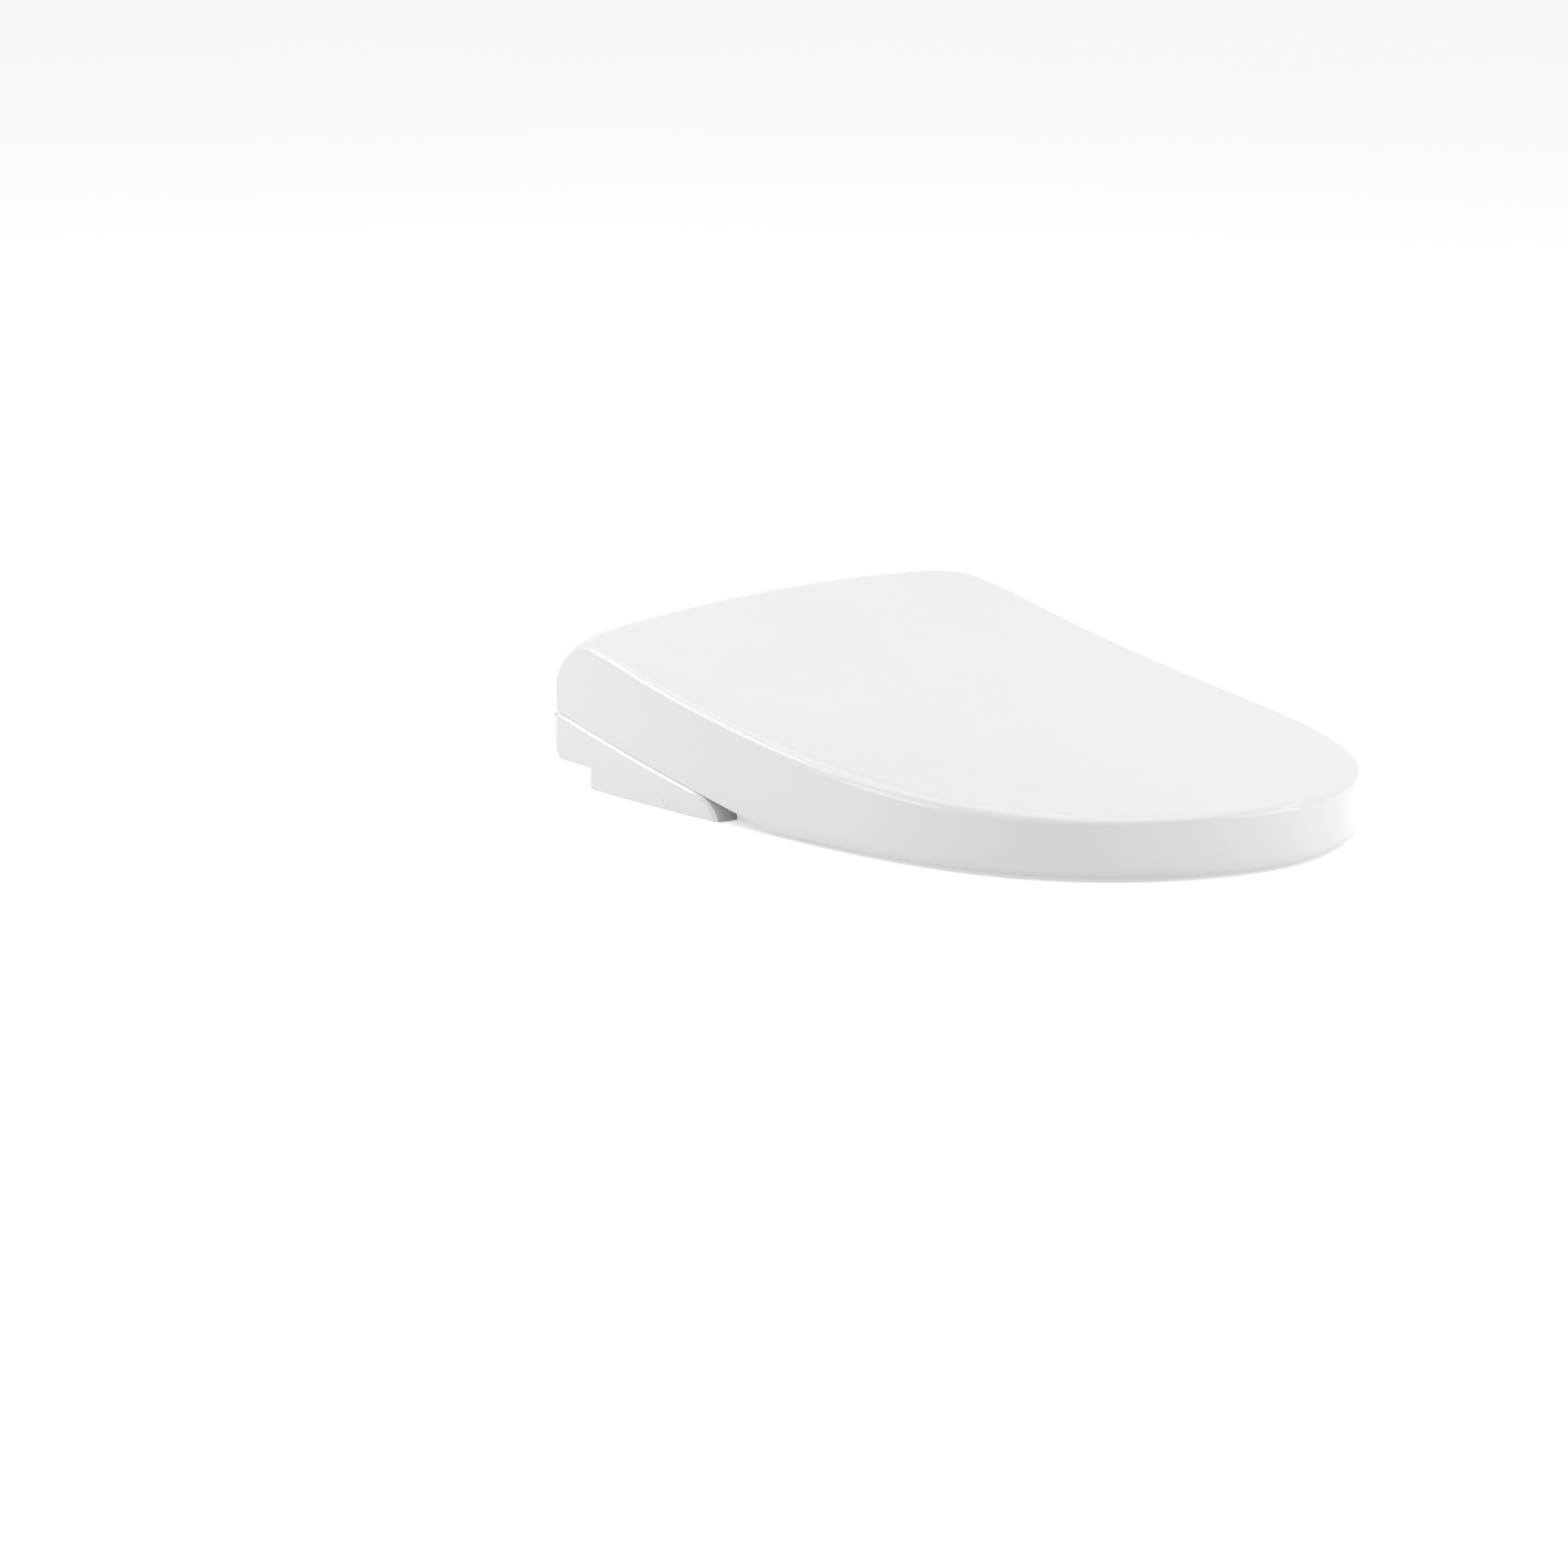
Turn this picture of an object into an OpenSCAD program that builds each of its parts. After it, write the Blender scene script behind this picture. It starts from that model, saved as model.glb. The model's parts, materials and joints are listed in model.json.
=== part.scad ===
// Electric bidet seat: lid, heated seat, and the water and air unit behind them.
// X runs across, plus towards the seated user's left. Y runs to the rear. Z is up.
// The origin is midway between the two fixing bolts, on top of the bowl rim.

/* [Lid outline] */
// Half of the widest width of the lid
lid_half_w = 191.5; // [186:0.5:196]
// Half of the width at the rear edge
rear_half_w = 183.5; // [178:0.5:188]
// Rear edge, behind the bolts
rear_y = 59; // [58.5:0.5:62]
// Tip of the nose, in front of the bolts
nose_y = 466; // [455:1:475]
// Where the lid is widest, in front of the bolts
wide_y = 85; // [75:1:95]
// How square the nose is along the length
nose_p = 3.9; // [3:0.1:5]
// How square the nose is across the width
nose_q = 1.76; // [1.5:0.02:2.2]
// Radius of the two rear corners, seen from above
rear_corner_r = 6; // [3:0.5:8]

/* [Lid height] */
// Height that the roof line aims at above the rear edge
ridge_rear_z = 113.5; // [108:0.5:118]
// Fall of the roof line from rear to nose, before it levels out
ridge_fall = 147; // [140:1:152]
// How much the roof line levels out towards the nose
ridge_lift = 77; // [72:1:82]
// Rise of the middle of the roof over its edges
crown_h = 10.5; // [4:0.5:14]
// Where the roof starts to roll down at the rear
roll_y = 17; // [10:1:24]
// How tight the rear roll is
roll_e = 0.56; // [0.5:0.02:0.8]
// How far the two rear corners of the roof dip
dip_h = 11.5; // [0:0.5:14]
// Length of that dip, forward from the rear edge
dip_len = 80; // [60:1:90]
// Width of that dip, inward from the side
dip_w = 38; // [30:1:46]
// How gently that dip begins
dip_soft = 1.9; // [1.5:0.1:2.5]
// Width of the soft edge along the sides of the roof
edge_w = 12; // [8:1:14]
// Depth of the soft edge along the sides of the roof
edge_h = 9; // [6:0.5:10]
// Width and depth of the soft edge at the rear and at the nose
edge_end = 4.5; // [4:0.5:6]
// How far the top of the nose leans out over its lower edge
nose_lean = 3; // [0:0.5:4]
// Wall thickness of the lid
lid_t = 3; // [2.5:0.5:3.5]
// Height of the skirt's lower edge along the front
skirt_z = 3.3; // [3:0.1:5]

/* [Hinges] */
// Radius of the lid's rolled rear edge round its hinge axis
lobe_r = 8.5; // [8:0.5:9]
// Lid hinge axis, above the rim
lid_axis_z = 56; // [55:0.5:58]
// Seat hinge axis, in front of the bolts
seat_axis_y = 12; // [11:0.5:13]
// Seat hinge axis, above the rim
seat_axis_z = 48; // [47:0.5:49]
// Radius of the hinge shafts
shaft_r = 3; // [2.5:0.25:3.5]
// Radial clearance of every turning shaft
run_gap = 0.05; // [0.02:0.01:0.1]

/* [Seat] */
// Gap between the seat and the outside of the lid
seat_inset = 7; // [6:0.5:9]
// Rear edge of the seat ring, in front of the bolts
seat_rear_y = 72; // [71:1:76]
// Half length of the opening
hole_len = 137; // [128:1:140]
// Half width of the opening
hole_w = 106; // [98:1:112]
// Middle of the opening, in front of the bolts
hole_mid_y = 243; // [238:1:248]
// Height of the shell joint at the nose
joint_nose_z = 17; // [16:0.5:18]
// Height of the shell joint at the rear
joint_rear_z = 32; // [31:0.5:33]
// Depth of the upper shell
seat_up = 13; // [12:0.5:14]
// Depth of the lower shell
seat_down = 9; // [8:0.5:9.5]

/* [Unit] */
// Half width of the part that carries the nozzle
bay_half_w = 122; // [120:1:124]
// Half width of the unit between the side arms
case_half_w = 175; // [174:0.5:175.5]
// Front of the unit, in front of the bolts
fascia_y = 68; // [67:0.5:69]
// Wall thickness of the casings
case_t = 2.5; // [2:0.5:3]
// Spacing of the two fixing bolts
bolt_pitch = 140; // [135:1:145]
// Radius of the holes for the fixing bolts
bolt_hole_r = 4.25; // [4:0.05:4.5]
// Height of the step under the rear of the unit
step_z = 15; // [14:0.5:16]
// Where that step begins, behind the bolts
step_y = 15; // [14:1:18]

/* [Nozzle] */
// Slope of the nozzle below level
nozzle_slope = 22; // [20:1:24]
// Travel of the nozzle
nozzle_travel = 64; // [56:1:65]
// Radius of the wand
wand_r = 7; // [6.5:0.1:7]
// Gear module of the rack and pinion
gear_m = 1; // [1:1:1]
// Teeth of the pinion
pinion_n = 16; // [14:1:16]

/* [Hidden] */
$fn = 48;

// Colours
gloss_white = [0.94, 0.94, 0.93];
matt_white = [0.88, 0.88, 0.87];
soft_grey = [0.62, 0.63, 0.64];
dark_grey = [0.22, 0.23, 0.25];
steel = [0.72, 0.73, 0.75];
brass = [0.78, 0.62, 0.32];
board_green = [0.10, 0.35, 0.22];

// Points of the outlines, from the middle of the rear edge round to the nose
n_rear = 6;
n_corner = 4;
n_side = 8;
n_front = 18;
n_half = n_rear + n_corner + 1 + n_side + n_front;
nose_len = nose_y - wide_y;
lid_len = rear_y + nose_y;
lid_axis_y = rear_y - lobe_r;
roll_foot_z = lid_axis_z + 1;
scoop_r = lobe_r + 0.7;

// The seam between the lid and the side arms is one straight line
seam_gap = 0.5;
seam_slope = 0.2027;
seam_rear_z = lid_axis_z - lobe_r;
function seam_z(y) = seam_rear_z - seam_slope * (lid_axis_y - y);

// ---------------------------------------------------------------- small helpers

function lerp(a, b, k) = a + (b - a) * k;
function arc(cy, cz, r, a0, a1, n) = [for (i = [0:n]) let (a = lerp(a0, a1, i / n))
    [cy + r * cos(a), cz + r * sin(a)]];

module block(a, b) { translate(a) cube(b - a); }
module both_sides() { children(); mirror([1, 0, 0]) children(); }
module rod_x(x0, x1, y, z, r) { translate([x0, y, z]) rotate([0, 90, 0]) cylinder(r = r, h = x1 - x0); }
module rod_y(y0, y1, x, z, r) { translate([x, y0, z]) rotate([-90, 0, 0]) cylinder(r = r, h = y1 - y0); }
module rod_z(z0, z1, x, y, r) { translate([x, y, z0]) cylinder(r = r, h = z1 - z0); }
// A side outline in Y and Z, drawn out from x0 to x1
module side_prism(points, x0, x1) {
    translate([x0, 0, 0]) rotate([90, 0, 90]) linear_extrude(x1 - x0) polygon(points);
}

// Faces of a loft: rings of n points, one after another
function loft_faces(n, rings, closed) = [
    for (r = [0:rings - (closed ? 1 : 2)], i = [0:n - 1])
        let (a = r * n, b = ((r + 1) % rings) * n, j = (i + 1) % n)
            each [[a + i, a + j, b + j], [a + i, b + j, b + i]]];
// Faces that close a ring of mirrored halves across the middle
function cap_faces(first, half, n) = [
    for (i = [0:half - 2])
        let (r0 = first + i, r1 = first + i + 1,
             l0 = first + (n - i) % n, l1 = first + (n - i - 1) % n)
            each (i == 0 ? [[r0, r1, l1]] : i == half - 2 ? [[r0, r1, l0]]
                : [[r0, r1, l1], [r0, l1, l0]])];
function flipped(faces) = [for (f = faces) [f[0], f[2], f[1]]];
function mirrored(half) = concat(half,
    [for (i = [len(half) - 2:-1:1]) [-half[i].x, half[i].y, half[i].z]]);

// ---------------------------------------------------------------- lid

// Half width of the lid at y, d inside the outline
function half_w(y, d = 0) = y > -wide_y
    ? lid_half_w - d - (lid_half_w - rear_half_w) * pow((y + wide_y) / (rear_y + wide_y), 2)
    : (lid_half_w - d) * pow(1 - pow(min(1, (-wide_y - y) / (nose_len - d)), nose_p), 1 / nose_q);

// Half outline of the lid, d inside its edge, with its nose out by lean
function half_outline(d, lean = 0) =
    let (r = max(rear_corner_r - d, 1), y0 = rear_y - d - r, w0 = half_w(y0, d))
    concat(
        [for (i = [0:n_rear - 1]) [(w0 - r) * i / n_rear, rear_y - d]],
        [for (i = [0:n_corner]) let (a = 90 - 90 * i / n_corner)
            [w0 - r + r * cos(a), y0 + r * sin(a)]],
        [for (i = [1:n_side]) let (y = lerp(y0, -wide_y, pow(i / n_side, 1.5))) [half_w(y, d), y]],
        [for (i = [1:n_front]) let (a = 90 * i / n_front)
            [(lid_half_w - d) * pow(1 - pow(sin(a), nose_p), 1 / nose_q),
             -wide_y - (nose_len - d + lean) * sin(a)]]);

// Roof of the lid without its soft edge, at depth t below the outer face
function roof_z(x, y, t) =
    let (s = (rear_y - y) / lid_len,
         ridge = ridge_rear_z - ridge_fall * s + ridge_lift * s * s,
         across = 1 - pow(min(1, abs(x) / max(half_w(y), 1)), 2),
         along = 1 - pow(min(1, max(0, (-wide_y - y) / nose_len)), 2.5),
         du = max(0, min(1, (y - rear_y + dip_len) / dip_len)),
         dv = max(0, min(1, (abs(x) - half_w(y) + dip_w) / dip_w)),
         full = ridge + crown_h * across * along - dip_h * pow(du * dv, dip_soft) - t,
         u = min(1, max(0, (y - roll_y) / (rear_y - t - roll_y))))
    roll_foot_z + (full - roll_foot_z) * pow(1 - u * u, roll_e);

// The soft edge is widest halfway along the sides
function edge_swell(y) = sin(180 * max(0, min(1, (rear_y - y) / lid_len)));
function edge_drop(e, w, h) = e >= w ? 0 : h * (1 - sqrt(1 - pow(1 - max(0, e) / w, 2)));

function lid_z(x, y, e, t) = let (k = edge_swell(y)) roof_z(x, y, t)
    - edge_drop(e - t, lerp(edge_end, edge_w, k) - t, lerp(edge_end, edge_h, k) - t)
    * (y > roll_y ? lerp(1, 0.8, (y - roll_y) / (rear_y - roll_y)) : 1);

// Lower edge of the skirt: level in front, then the seam, then the hinge lobe
function lid_low_z(y) = y > lid_axis_y
    ? lid_axis_z - sqrt(max(0, lobe_r * lobe_r - pow(y - lid_axis_y, 2)))
    : max(skirt_z, seam_z(y));

function lid_low_ring(d) = mirrored([for (p = half_outline(d)) [p.x, p.y, lid_low_z(p.y)]]);
function lid_half(d, t) = let (h = half_outline(d, nose_lean)) [for (i = [0:n_half - 1])
    let (p = h[i], e = i <= n_rear + n_corner ? half_w(p.y) - p.x : d)
        [p.x, p.y, lid_z(p.x, p.y, e, t)]];
function lid_ring(d, t) = mirrored(lid_half(d, t));
// A ring drawn in towards the middle line of the roof
function lid_inner_ring(d, t, k) = let (h = lid_half(d, t)) mirrored([for (i = [0:n_half - 1])
    let (x = h[i].x * (1 - k), y = lerp(h[i].y, min(-60, max(-380, h[i].y)), k))
        [x, y, roof_z(x, y, t)]]);

lid_steps = [0, 0.8, 2.2, 4.5, 8, 12, 18, 25, 31, 34, 38, 46];
liner_steps = [0, 1.5, 5, 9, 18, 43];

module lid_skin() {
    n = 2 * n_half - 2;
    rings = concat(
        [lid_inner_ring(46, lid_t, 0.75), lid_inner_ring(46, lid_t, 0.4)],
        [for (i = [len(liner_steps) - 1:-1:0]) lid_ring(liner_steps[i] + lid_t, lid_t)],
        [lid_low_ring(lid_t), lid_low_ring(0)],
        [for (d = lid_steps) lid_ring(d, 0)],
        [lid_inner_ring(46, 0, 0.4), lid_inner_ring(46, 0, 0.75)]);
    m = len(rings);
    polyhedron(
        [for (r = rings) each r],
        concat(loft_faces(n, m, false),
            flipped(cap_faces(0, n_half, n)), cap_faces((m - 1) * n, n_half, n)),
        convexity = 6);
}

pod_in = 119;
pod_out = 172;
boss_in = 173.2;

module lid_shell() {
    color(gloss_white) difference() {
        union() {
            lid_skin();
            both_sides() rod_x(boss_in, 179.6, lid_axis_y, lid_axis_z, lobe_r - 0.3);
        }
        both_sides() {
            rod_x(boss_in - 1, 178, lid_axis_y, lid_axis_z, shaft_r);
            block([pod_in - 0.7, lid_axis_y - 14, 40], [boss_in - 0.5, rear_y + 2, lid_axis_z + 12]);
        }
    }
}

// Rubber buffers between the lid and the seat
bumper_spots = [[150, -150], [108, -372]];
module lid_bumpers() {
    color(soft_grey) both_sides() for (p = bumper_spots)
        rod_z(seat_top_z(p.y) + 0.3, roof_z(p.x, p.y, lid_t) + 0.3, p.x, p.y, 6);
}

module lid_shafts() {
    color(steel) both_sides() rod_x(150, 178, lid_axis_y, lid_axis_z, shaft_r);
}

// The rotary damper that lets the lid down slowly, in the left pod
module lid_damper() {
    color(dark_grey) difference() {
        rod_x(pod_in + 2.5, 168.5, lid_axis_y, lid_axis_z, 6.4);
        rod_x(148, 169, lid_axis_y, lid_axis_z, shaft_r + run_gap);
    }
}

module hinge_pod(x0, x1, hollow) {
    difference() {
        union() {
            rod_x(x0, x1, lid_axis_y, lid_axis_z, lobe_r);
            side_prism([[lid_axis_y - 1, lid_axis_z - 8], [lid_axis_y + 0.5, lip_z], [rear_y - 2, lip_z],
                [rear_y - 2, lid_axis_z - 5]], x0, x1);
        }
        if (hollow) rod_x(x0 + 2.5, x1 - 3.5, lid_axis_y, lid_axis_z, 6.5);
        rod_x(140, x1 + 1, lid_axis_y, lid_axis_z, shaft_r + run_gap);
    }
}
module hinge_pod_left() { color(gloss_white) hinge_pod(pod_in, pod_out, true); }
module hinge_pod_right() { color(gloss_white) mirror([1, 0, 0]) hinge_pod(pod_in, pod_out, false); }

// ---------------------------------------------------------------- seat

seat_wide_y = -200;
seat_rear_half_w = 160;
function seat_joint_z(y) =
    lerp(joint_nose_z, joint_rear_z, (y + nose_y - seat_inset) / (nose_y - seat_inset - seat_rear_y));
function seat_top_z(y) = seat_joint_z(y) + seat_up;

function seat_half_w(y) = lerp(half_w(seat_wide_y, seat_inset), seat_rear_half_w,
    pow((y - seat_wide_y) / (-seat_rear_y - seat_wide_y), 2));

seat_corner_r = 12;
function seat_outline() =
    let (r = seat_corner_r, y0 = -seat_rear_y - r, w0 = seat_half_w(y0),
         a0 = asin((-wide_y - seat_wide_y) / (nose_len - seat_inset)))
    concat(
        [for (i = [0:n_rear]) [(w0 - r) * i / (n_rear + 1), -seat_rear_y]],
        [for (i = [0:n_corner]) let (a = 90 - 90 * i / n_corner) [w0 - r + r * cos(a), y0 + r * sin(a)]],
        [for (i = [1:n_side]) let (y = lerp(y0, seat_wide_y, i / n_side)) [seat_half_w(y), y]],
        [for (i = [1:n_front]) let (a = lerp(a0, 90, i / n_front))
            [(lid_half_w - seat_inset) * pow(max(0, 1 - pow(sin(a), nose_p)), 1 / nose_q),
             -wide_y - (nose_len - seat_inset) * sin(a)]]);

// The point of the opening that lies on the same ray as an outer point
hole_e = 2.3;
function hole_point(p) =
    let (v = [p.x, p.y + hole_mid_y], a = atan2(v.y, v.x),
         r = pow(pow(abs(cos(a)) / hole_w, hole_e) + pow(abs(sin(a)) / hole_len, hole_e), -1 / hole_e))
    [r * cos(a), r * sin(a) - hole_mid_y];

// A ring of the seat: k goes from the outer edge to the opening, h is a height from the joint
function seat_ring(k, h) = mirrored([for (p = seat_outline())
    let (q = hole_point(p), v = p + (q - p) * k)
        [abs(v.x) < 0.001 ? 0 : v.x, v.y, seat_joint_z(v.y) + h]]);

module seat_loft(section) {
    rings = [for (s = section) seat_ring(s[0], s[1])];
    n = len(rings[0]);
    polyhedron([for (r = rings) each r], loft_faces(n, len(rings), true), convexity = 8);
}

// Cross sections, as [share of the width, height]
top_outside = [[0, 0], [0, 0.42], [0.02, 0.68], [0.07, 0.88], [0.16, 0.98], [0.3, 1], [0.46, 0.97],
    [0.62, 0.86], [0.78, 0.68], [0.91, 0.45], [0.98, 0.22], [1, 0]];
top_inside = [[0.965, 0], [0.94, 0.18], [0.86, 0.36], [0.74, 0.52], [0.6, 0.66], [0.46, 0.76],
    [0.3, 0.8], [0.17, 0.78], [0.09, 0.67], [0.045, 0.4], [0.035, 0]];
low_outside = [[1, -0.3], [0.985, -3], [0.94, -5.5], [0.86, -7.5], [0.75, -9], [0.2, -9],
    [0.06, -7.8], [0.01, -5], [0, -0.3]];
low_inside = [[0.035, -0.3], [0.05, -4.2], [0.12, -6], [0.22, -6.6], [0.74, -6.6], [0.85, -5.2], [0.94, -2.6],
    [0.965, -0.3]];
heater_top = [[0.16, 0.72], [0.3, 0.76], [0.46, 0.72], [0.6, 0.62], [0.72, 0.5]];

module seat_top() {
    color(gloss_white) seat_loft([for (s = concat(top_outside, top_inside)) [s[0], s[1] * seat_up]]);
}

module seat_bottom() {
    color(gloss_white) seat_loft(concat(low_outside, low_inside));
}

// Heating foil under the upper shell
module seat_heater() {
    color(brass) seat_loft(concat(
        [for (s = heater_top) [s[0], s[1] * seat_up]],
        [for (i = [len(heater_top) - 1:-1:0]) [heater_top[i][0], heater_top[i][1] * seat_up - 0.5]]));
}

// Buffers that rest on the bowl rim
seat_bumper_spots = [[142, -150], [100, -362]];
module seat_bumpers() {
    color(soft_grey) both_sides() for (p = seat_bumper_spots)
        rod_z(0, seat_joint_z(p.y) - seat_down + 0.2, p.x, p.y, 8);
}

horn_in = 123.5;
horn_out = 146;
horn_r = 10;
module seat_horn() {
    difference() {
        union() {
            side_prism([[-seat_rear_y, 27], [-seat_rear_y, 42], [-seat_axis_y - 28, 53],
                [-seat_axis_y, seat_axis_z + horn_r], [-seat_axis_y, seat_axis_z - horn_r],
                [-seat_axis_y - 28, 33]], horn_in, horn_out);
            rod_x(horn_in, horn_out, -seat_axis_y, seat_axis_z, horn_r);
        }
        rod_x(horn_in - 1, 142, -seat_axis_y, seat_axis_z, shaft_r);
    }
}
module seat_horn_left() { color(gloss_white) seat_horn(); }
module seat_horn_right() { color(gloss_white) mirror([1, 0, 0]) seat_horn(); }

module seat_shafts() {
    color(steel) both_sides() rod_x(106, 142, -seat_axis_y, seat_axis_z, shaft_r);
}

module seat_damper() {
    color(dark_grey) difference() {
        rod_x(88, bay_half_w - case_t - 0.2, -seat_axis_y, seat_axis_z, 8);
        rod_x(104, bay_half_w, -seat_axis_y, seat_axis_z, shaft_r + run_gap);
    }
}

// ---------------------------------------------------------------- mounting

plate_half_w = 100;
plate_front_y = -34;
plate_rear_y = 20;
plate_t = 5;
slot_r = 9;
slot_len = 24;
latch_y = -10;

module mounting_plate() {
    color(matt_white) difference() {
        union() {
            block([-plate_half_w, plate_front_y, 0], [plate_half_w, plate_rear_y, plate_t]);
            both_sides()
                block([plate_half_w - 6, plate_front_y, plate_t],
                    [plate_half_w - 2, plate_rear_y, plate_t + 1.5]);
        }
        both_sides() {
            for (side = [-1, 1])
                rod_z(-1, plate_t + 1, bolt_pitch / 2, side * (slot_len / 2 - slot_r), slot_r);
            block([bolt_pitch / 2 - slot_r, slot_r - slot_len / 2, -1],
                [bolt_pitch / 2 + slot_r, slot_len / 2 - slot_r, plate_t + 1]);
        }
        block([plate_half_w - 7.5, latch_y - 5, 1], [plate_half_w + 1, latch_y + 5, plate_t + 2]);
    }
}

// Adjusting bushes that take the fixing bolts
module bolt_bushes() {
    color(dark_grey) both_sides() difference() {
        union() {
            rod_z(0.5, plate_t, bolt_pitch / 2, 0, slot_r - 0.1);
            rod_z(plate_t, plate_t + 1.5, bolt_pitch / 2, 0, 12);
        }
        rod_z(0, plate_t + 2, bolt_pitch / 2, 0, bolt_hole_r);
    }
}

floor_z = 7;
floor_t = 2.5;
split_z = 20;
wing_front_y = -50;
case_rear_y = rear_y - 4.5;
pad_spots = [[110, -56], [160, -38], [160, 6]];
module base_pads() {
    color(soft_grey) both_sides() for (p = pad_spots) rod_z(0, floor_z, p.x, p.y, 6);
}

// ---------------------------------------------------------------- casings

module case_plan(inset) {
    square_from([-bay_half_w + inset, -fascia_y + 3.3 + (inset > 0 ? -5 : 0)], [bay_half_w - inset, 0]);
    square_from([-case_half_w + inset, wing_front_y + inset],
        [case_half_w - inset, case_rear_y + (inset > 0 ? 5 : 0)]);
}
module square_from(a, b) { translate(a) square(b - a); }

nozzle_y = -60;
nozzle_z = 14;

module lower_case() {
    color(matt_white) difference() {
        translate([0, 0, floor_z]) linear_extrude(split_z - floor_z) case_plan(0);
        difference() {
            translate([0, 0, floor_z + floor_t]) linear_extrude(split_z) case_plan(case_t);
            block([-case_half_w, step_y - case_t, 0], [case_half_w, rear_y + 1, step_z + floor_t]);
        }
        block([-case_half_w - 1, step_y, 0], [case_half_w + 1, rear_y + 1, step_z]);
        // way out for the wand
        block([-11, -fascia_y, 0], [11, -46, split_z + 1]);
        // way for the release latch
        block([92, latch_y - 5.5, 0], [106, latch_y + 5.5, floor_z + floor_t + 1]);
        block([case_half_w - 4, latch_y - 5.5, 10], [case_half_w + 1, latch_y + 5.5, 16]);
        // room for the pocket of the water inlet, and holes for the screws
        inlet_pocket(1.8);
        both_sides() for (p = screw_spots) rod_z(floor_z - 1, floor_z + 3, p.x, p.y, 1.6);
    }
}

inlet_x = 151;
inlet_z = 25;
pocket_half_w = 15;
pocket_y = 40;
pocket_top_z = inlet_z + 15;
module inlet_pocket(grow) {
    block([inlet_x - pocket_half_w - grow, pocket_y - grow, -1],
        [inlet_x + pocket_half_w + grow, rear_y + 5, pocket_top_z + grow]);
}

deck_z = 75;
lip_z = 44.3;
lip_t = 2.3;
// Side outline of the upper case, from the fascia over the deck to the hinge
deck_profile = concat(
    [[-fascia_y, split_z + 0.3], [-fascia_y, 42]],
    arc(-fascia_y + 7, 42, 7, 165, 115, 3),
    [[-30, 61], [4, deck_z - 1], [8, deck_z], [32, deck_z], [37, deck_z - 2]],
    [[lid_axis_y - scoop_r - 2, 66]],
    arc(lid_axis_y, lid_axis_z, scoop_r + 0.4, 180, 262, 6),
    [[lid_axis_y + 0.5, lip_z], [rear_y - 2, lip_z], [rear_y - 2, lip_z - lip_t],
     [case_rear_y - 0.1, lip_z - lip_t], [case_rear_y - 0.1, split_z + 0.3]]);
deck_inner = concat(
    [[-fascia_y + 4, 0], [-fascia_y + case_t, 41]],
    [[-fascia_y + 6, 47], [-29.5, 58.4], [4.5, deck_z - 1 - case_t], [8, deck_z - case_t],
     [31, deck_z - case_t],
     [35.5, deck_z - 4.5], [lid_axis_y - scoop_r - 4.5, 65]],
    arc(lid_axis_y, lid_axis_z, scoop_r + 0.4 + case_t, 180, 245, 5),
    [[lid_axis_y - 6.5, lip_z - lip_t], [rear_y + 1, lip_z - lip_t], [rear_y + 1, 0]]);

fascia_top_z = 27;
module case_shell(profile, half, y0) {
    intersection() {
        side_prism(profile, -half, half);
        block([-half - 1, y0, 0], [half + 1, rear_y + 1, 100]);
    }
}

button_x = [-160, -148, -136];
button_y = 19;
button_r = 4.5;
lamp_x = [-18, 0, 18];

module upper_case() {
    color(gloss_white) difference() {
        union() {
            difference() {
                union() {
                    case_shell(deck_profile, bay_half_w, -fascia_y);
                    case_shell(deck_profile, case_half_w, 2);
                }
                case_shell(deck_inner, bay_half_w - case_t, -fascia_y);
                case_shell(deck_inner, case_half_w - case_t, 2 + case_t);
            }
            // low tops beside the bay, under the seat's horns
            both_sides() block([bay_half_w, wing_front_y, split_z + 0.3], [case_half_w, 2, split_z + 2.5]);
        }
        // room for the fascia, the inlet, the bearings, the buttons, the window, the lamps and the filter
        block([-bay_half_w - 1, -fascia_y - 1, 0], [bay_half_w + 1, -fascia_y + 3.3, fascia_top_z]);
        inlet_pocket(1.8);
        both_sides() rod_x(bay_half_w - 4, bay_half_w + 1, -seat_axis_y, seat_axis_z, shaft_r + run_gap);
        for (x = button_x) rod_z(deck_z - 5, deck_z + 1, x, button_y, button_r + 0.3);
        window_solid(0.15);
        for (x = lamp_x) lamp(x, 0.15);
        drawer_slot(0.4);
    }
}

// The front of the nozzle bay, with the ways out for water and warm air
flap_x0 = -94;
flap_x1 = -62;
flap_axis_z = 20.5;
flap_axis_y = -66.5;
module front_fascia() {
    color(gloss_white) difference() {
        block([-bay_half_w, -fascia_y, 3], [bay_half_w, -fascia_y + 3, fascia_top_z - 0.3]);
        block([-10, -fascia_y - 1, 2], [10, 0, 24.5]);
        block([flap_x0, -fascia_y - 1, 8], [flap_x1, 0, 22]);
        rod_x(flap_x0 - 2.2, flap_x1 + 2.2, flap_axis_y, flap_axis_z, 1 + run_gap);
    }
}

module rear_cover() {
    color(matt_white) difference() {
        union() {
            block([-case_half_w + 2, case_rear_y, step_z],
                [case_half_w - 2, case_rear_y + 2.3, lip_z - lip_t - 0.3]);
            block([inlet_x - pocket_half_w - 1.5, pocket_y - 1.5, step_z],
                [inlet_x + pocket_half_w + 1.5, case_rear_y, pocket_top_z + 1.5]);
        }
        inlet_pocket(0);
        rod_y(pocket_y - 2, pocket_y + 1, inlet_x, inlet_z, 7.1);
        rod_y(case_rear_y - 1, rear_y, 112, 31, 7);
        for (i = [0:11]) block([-150 + i * 8, case_rear_y - 1, 22], [-147 + i * 8, rear_y, 36]);
    }
}

// ---------------------------------------------------------------- side arms

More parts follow.
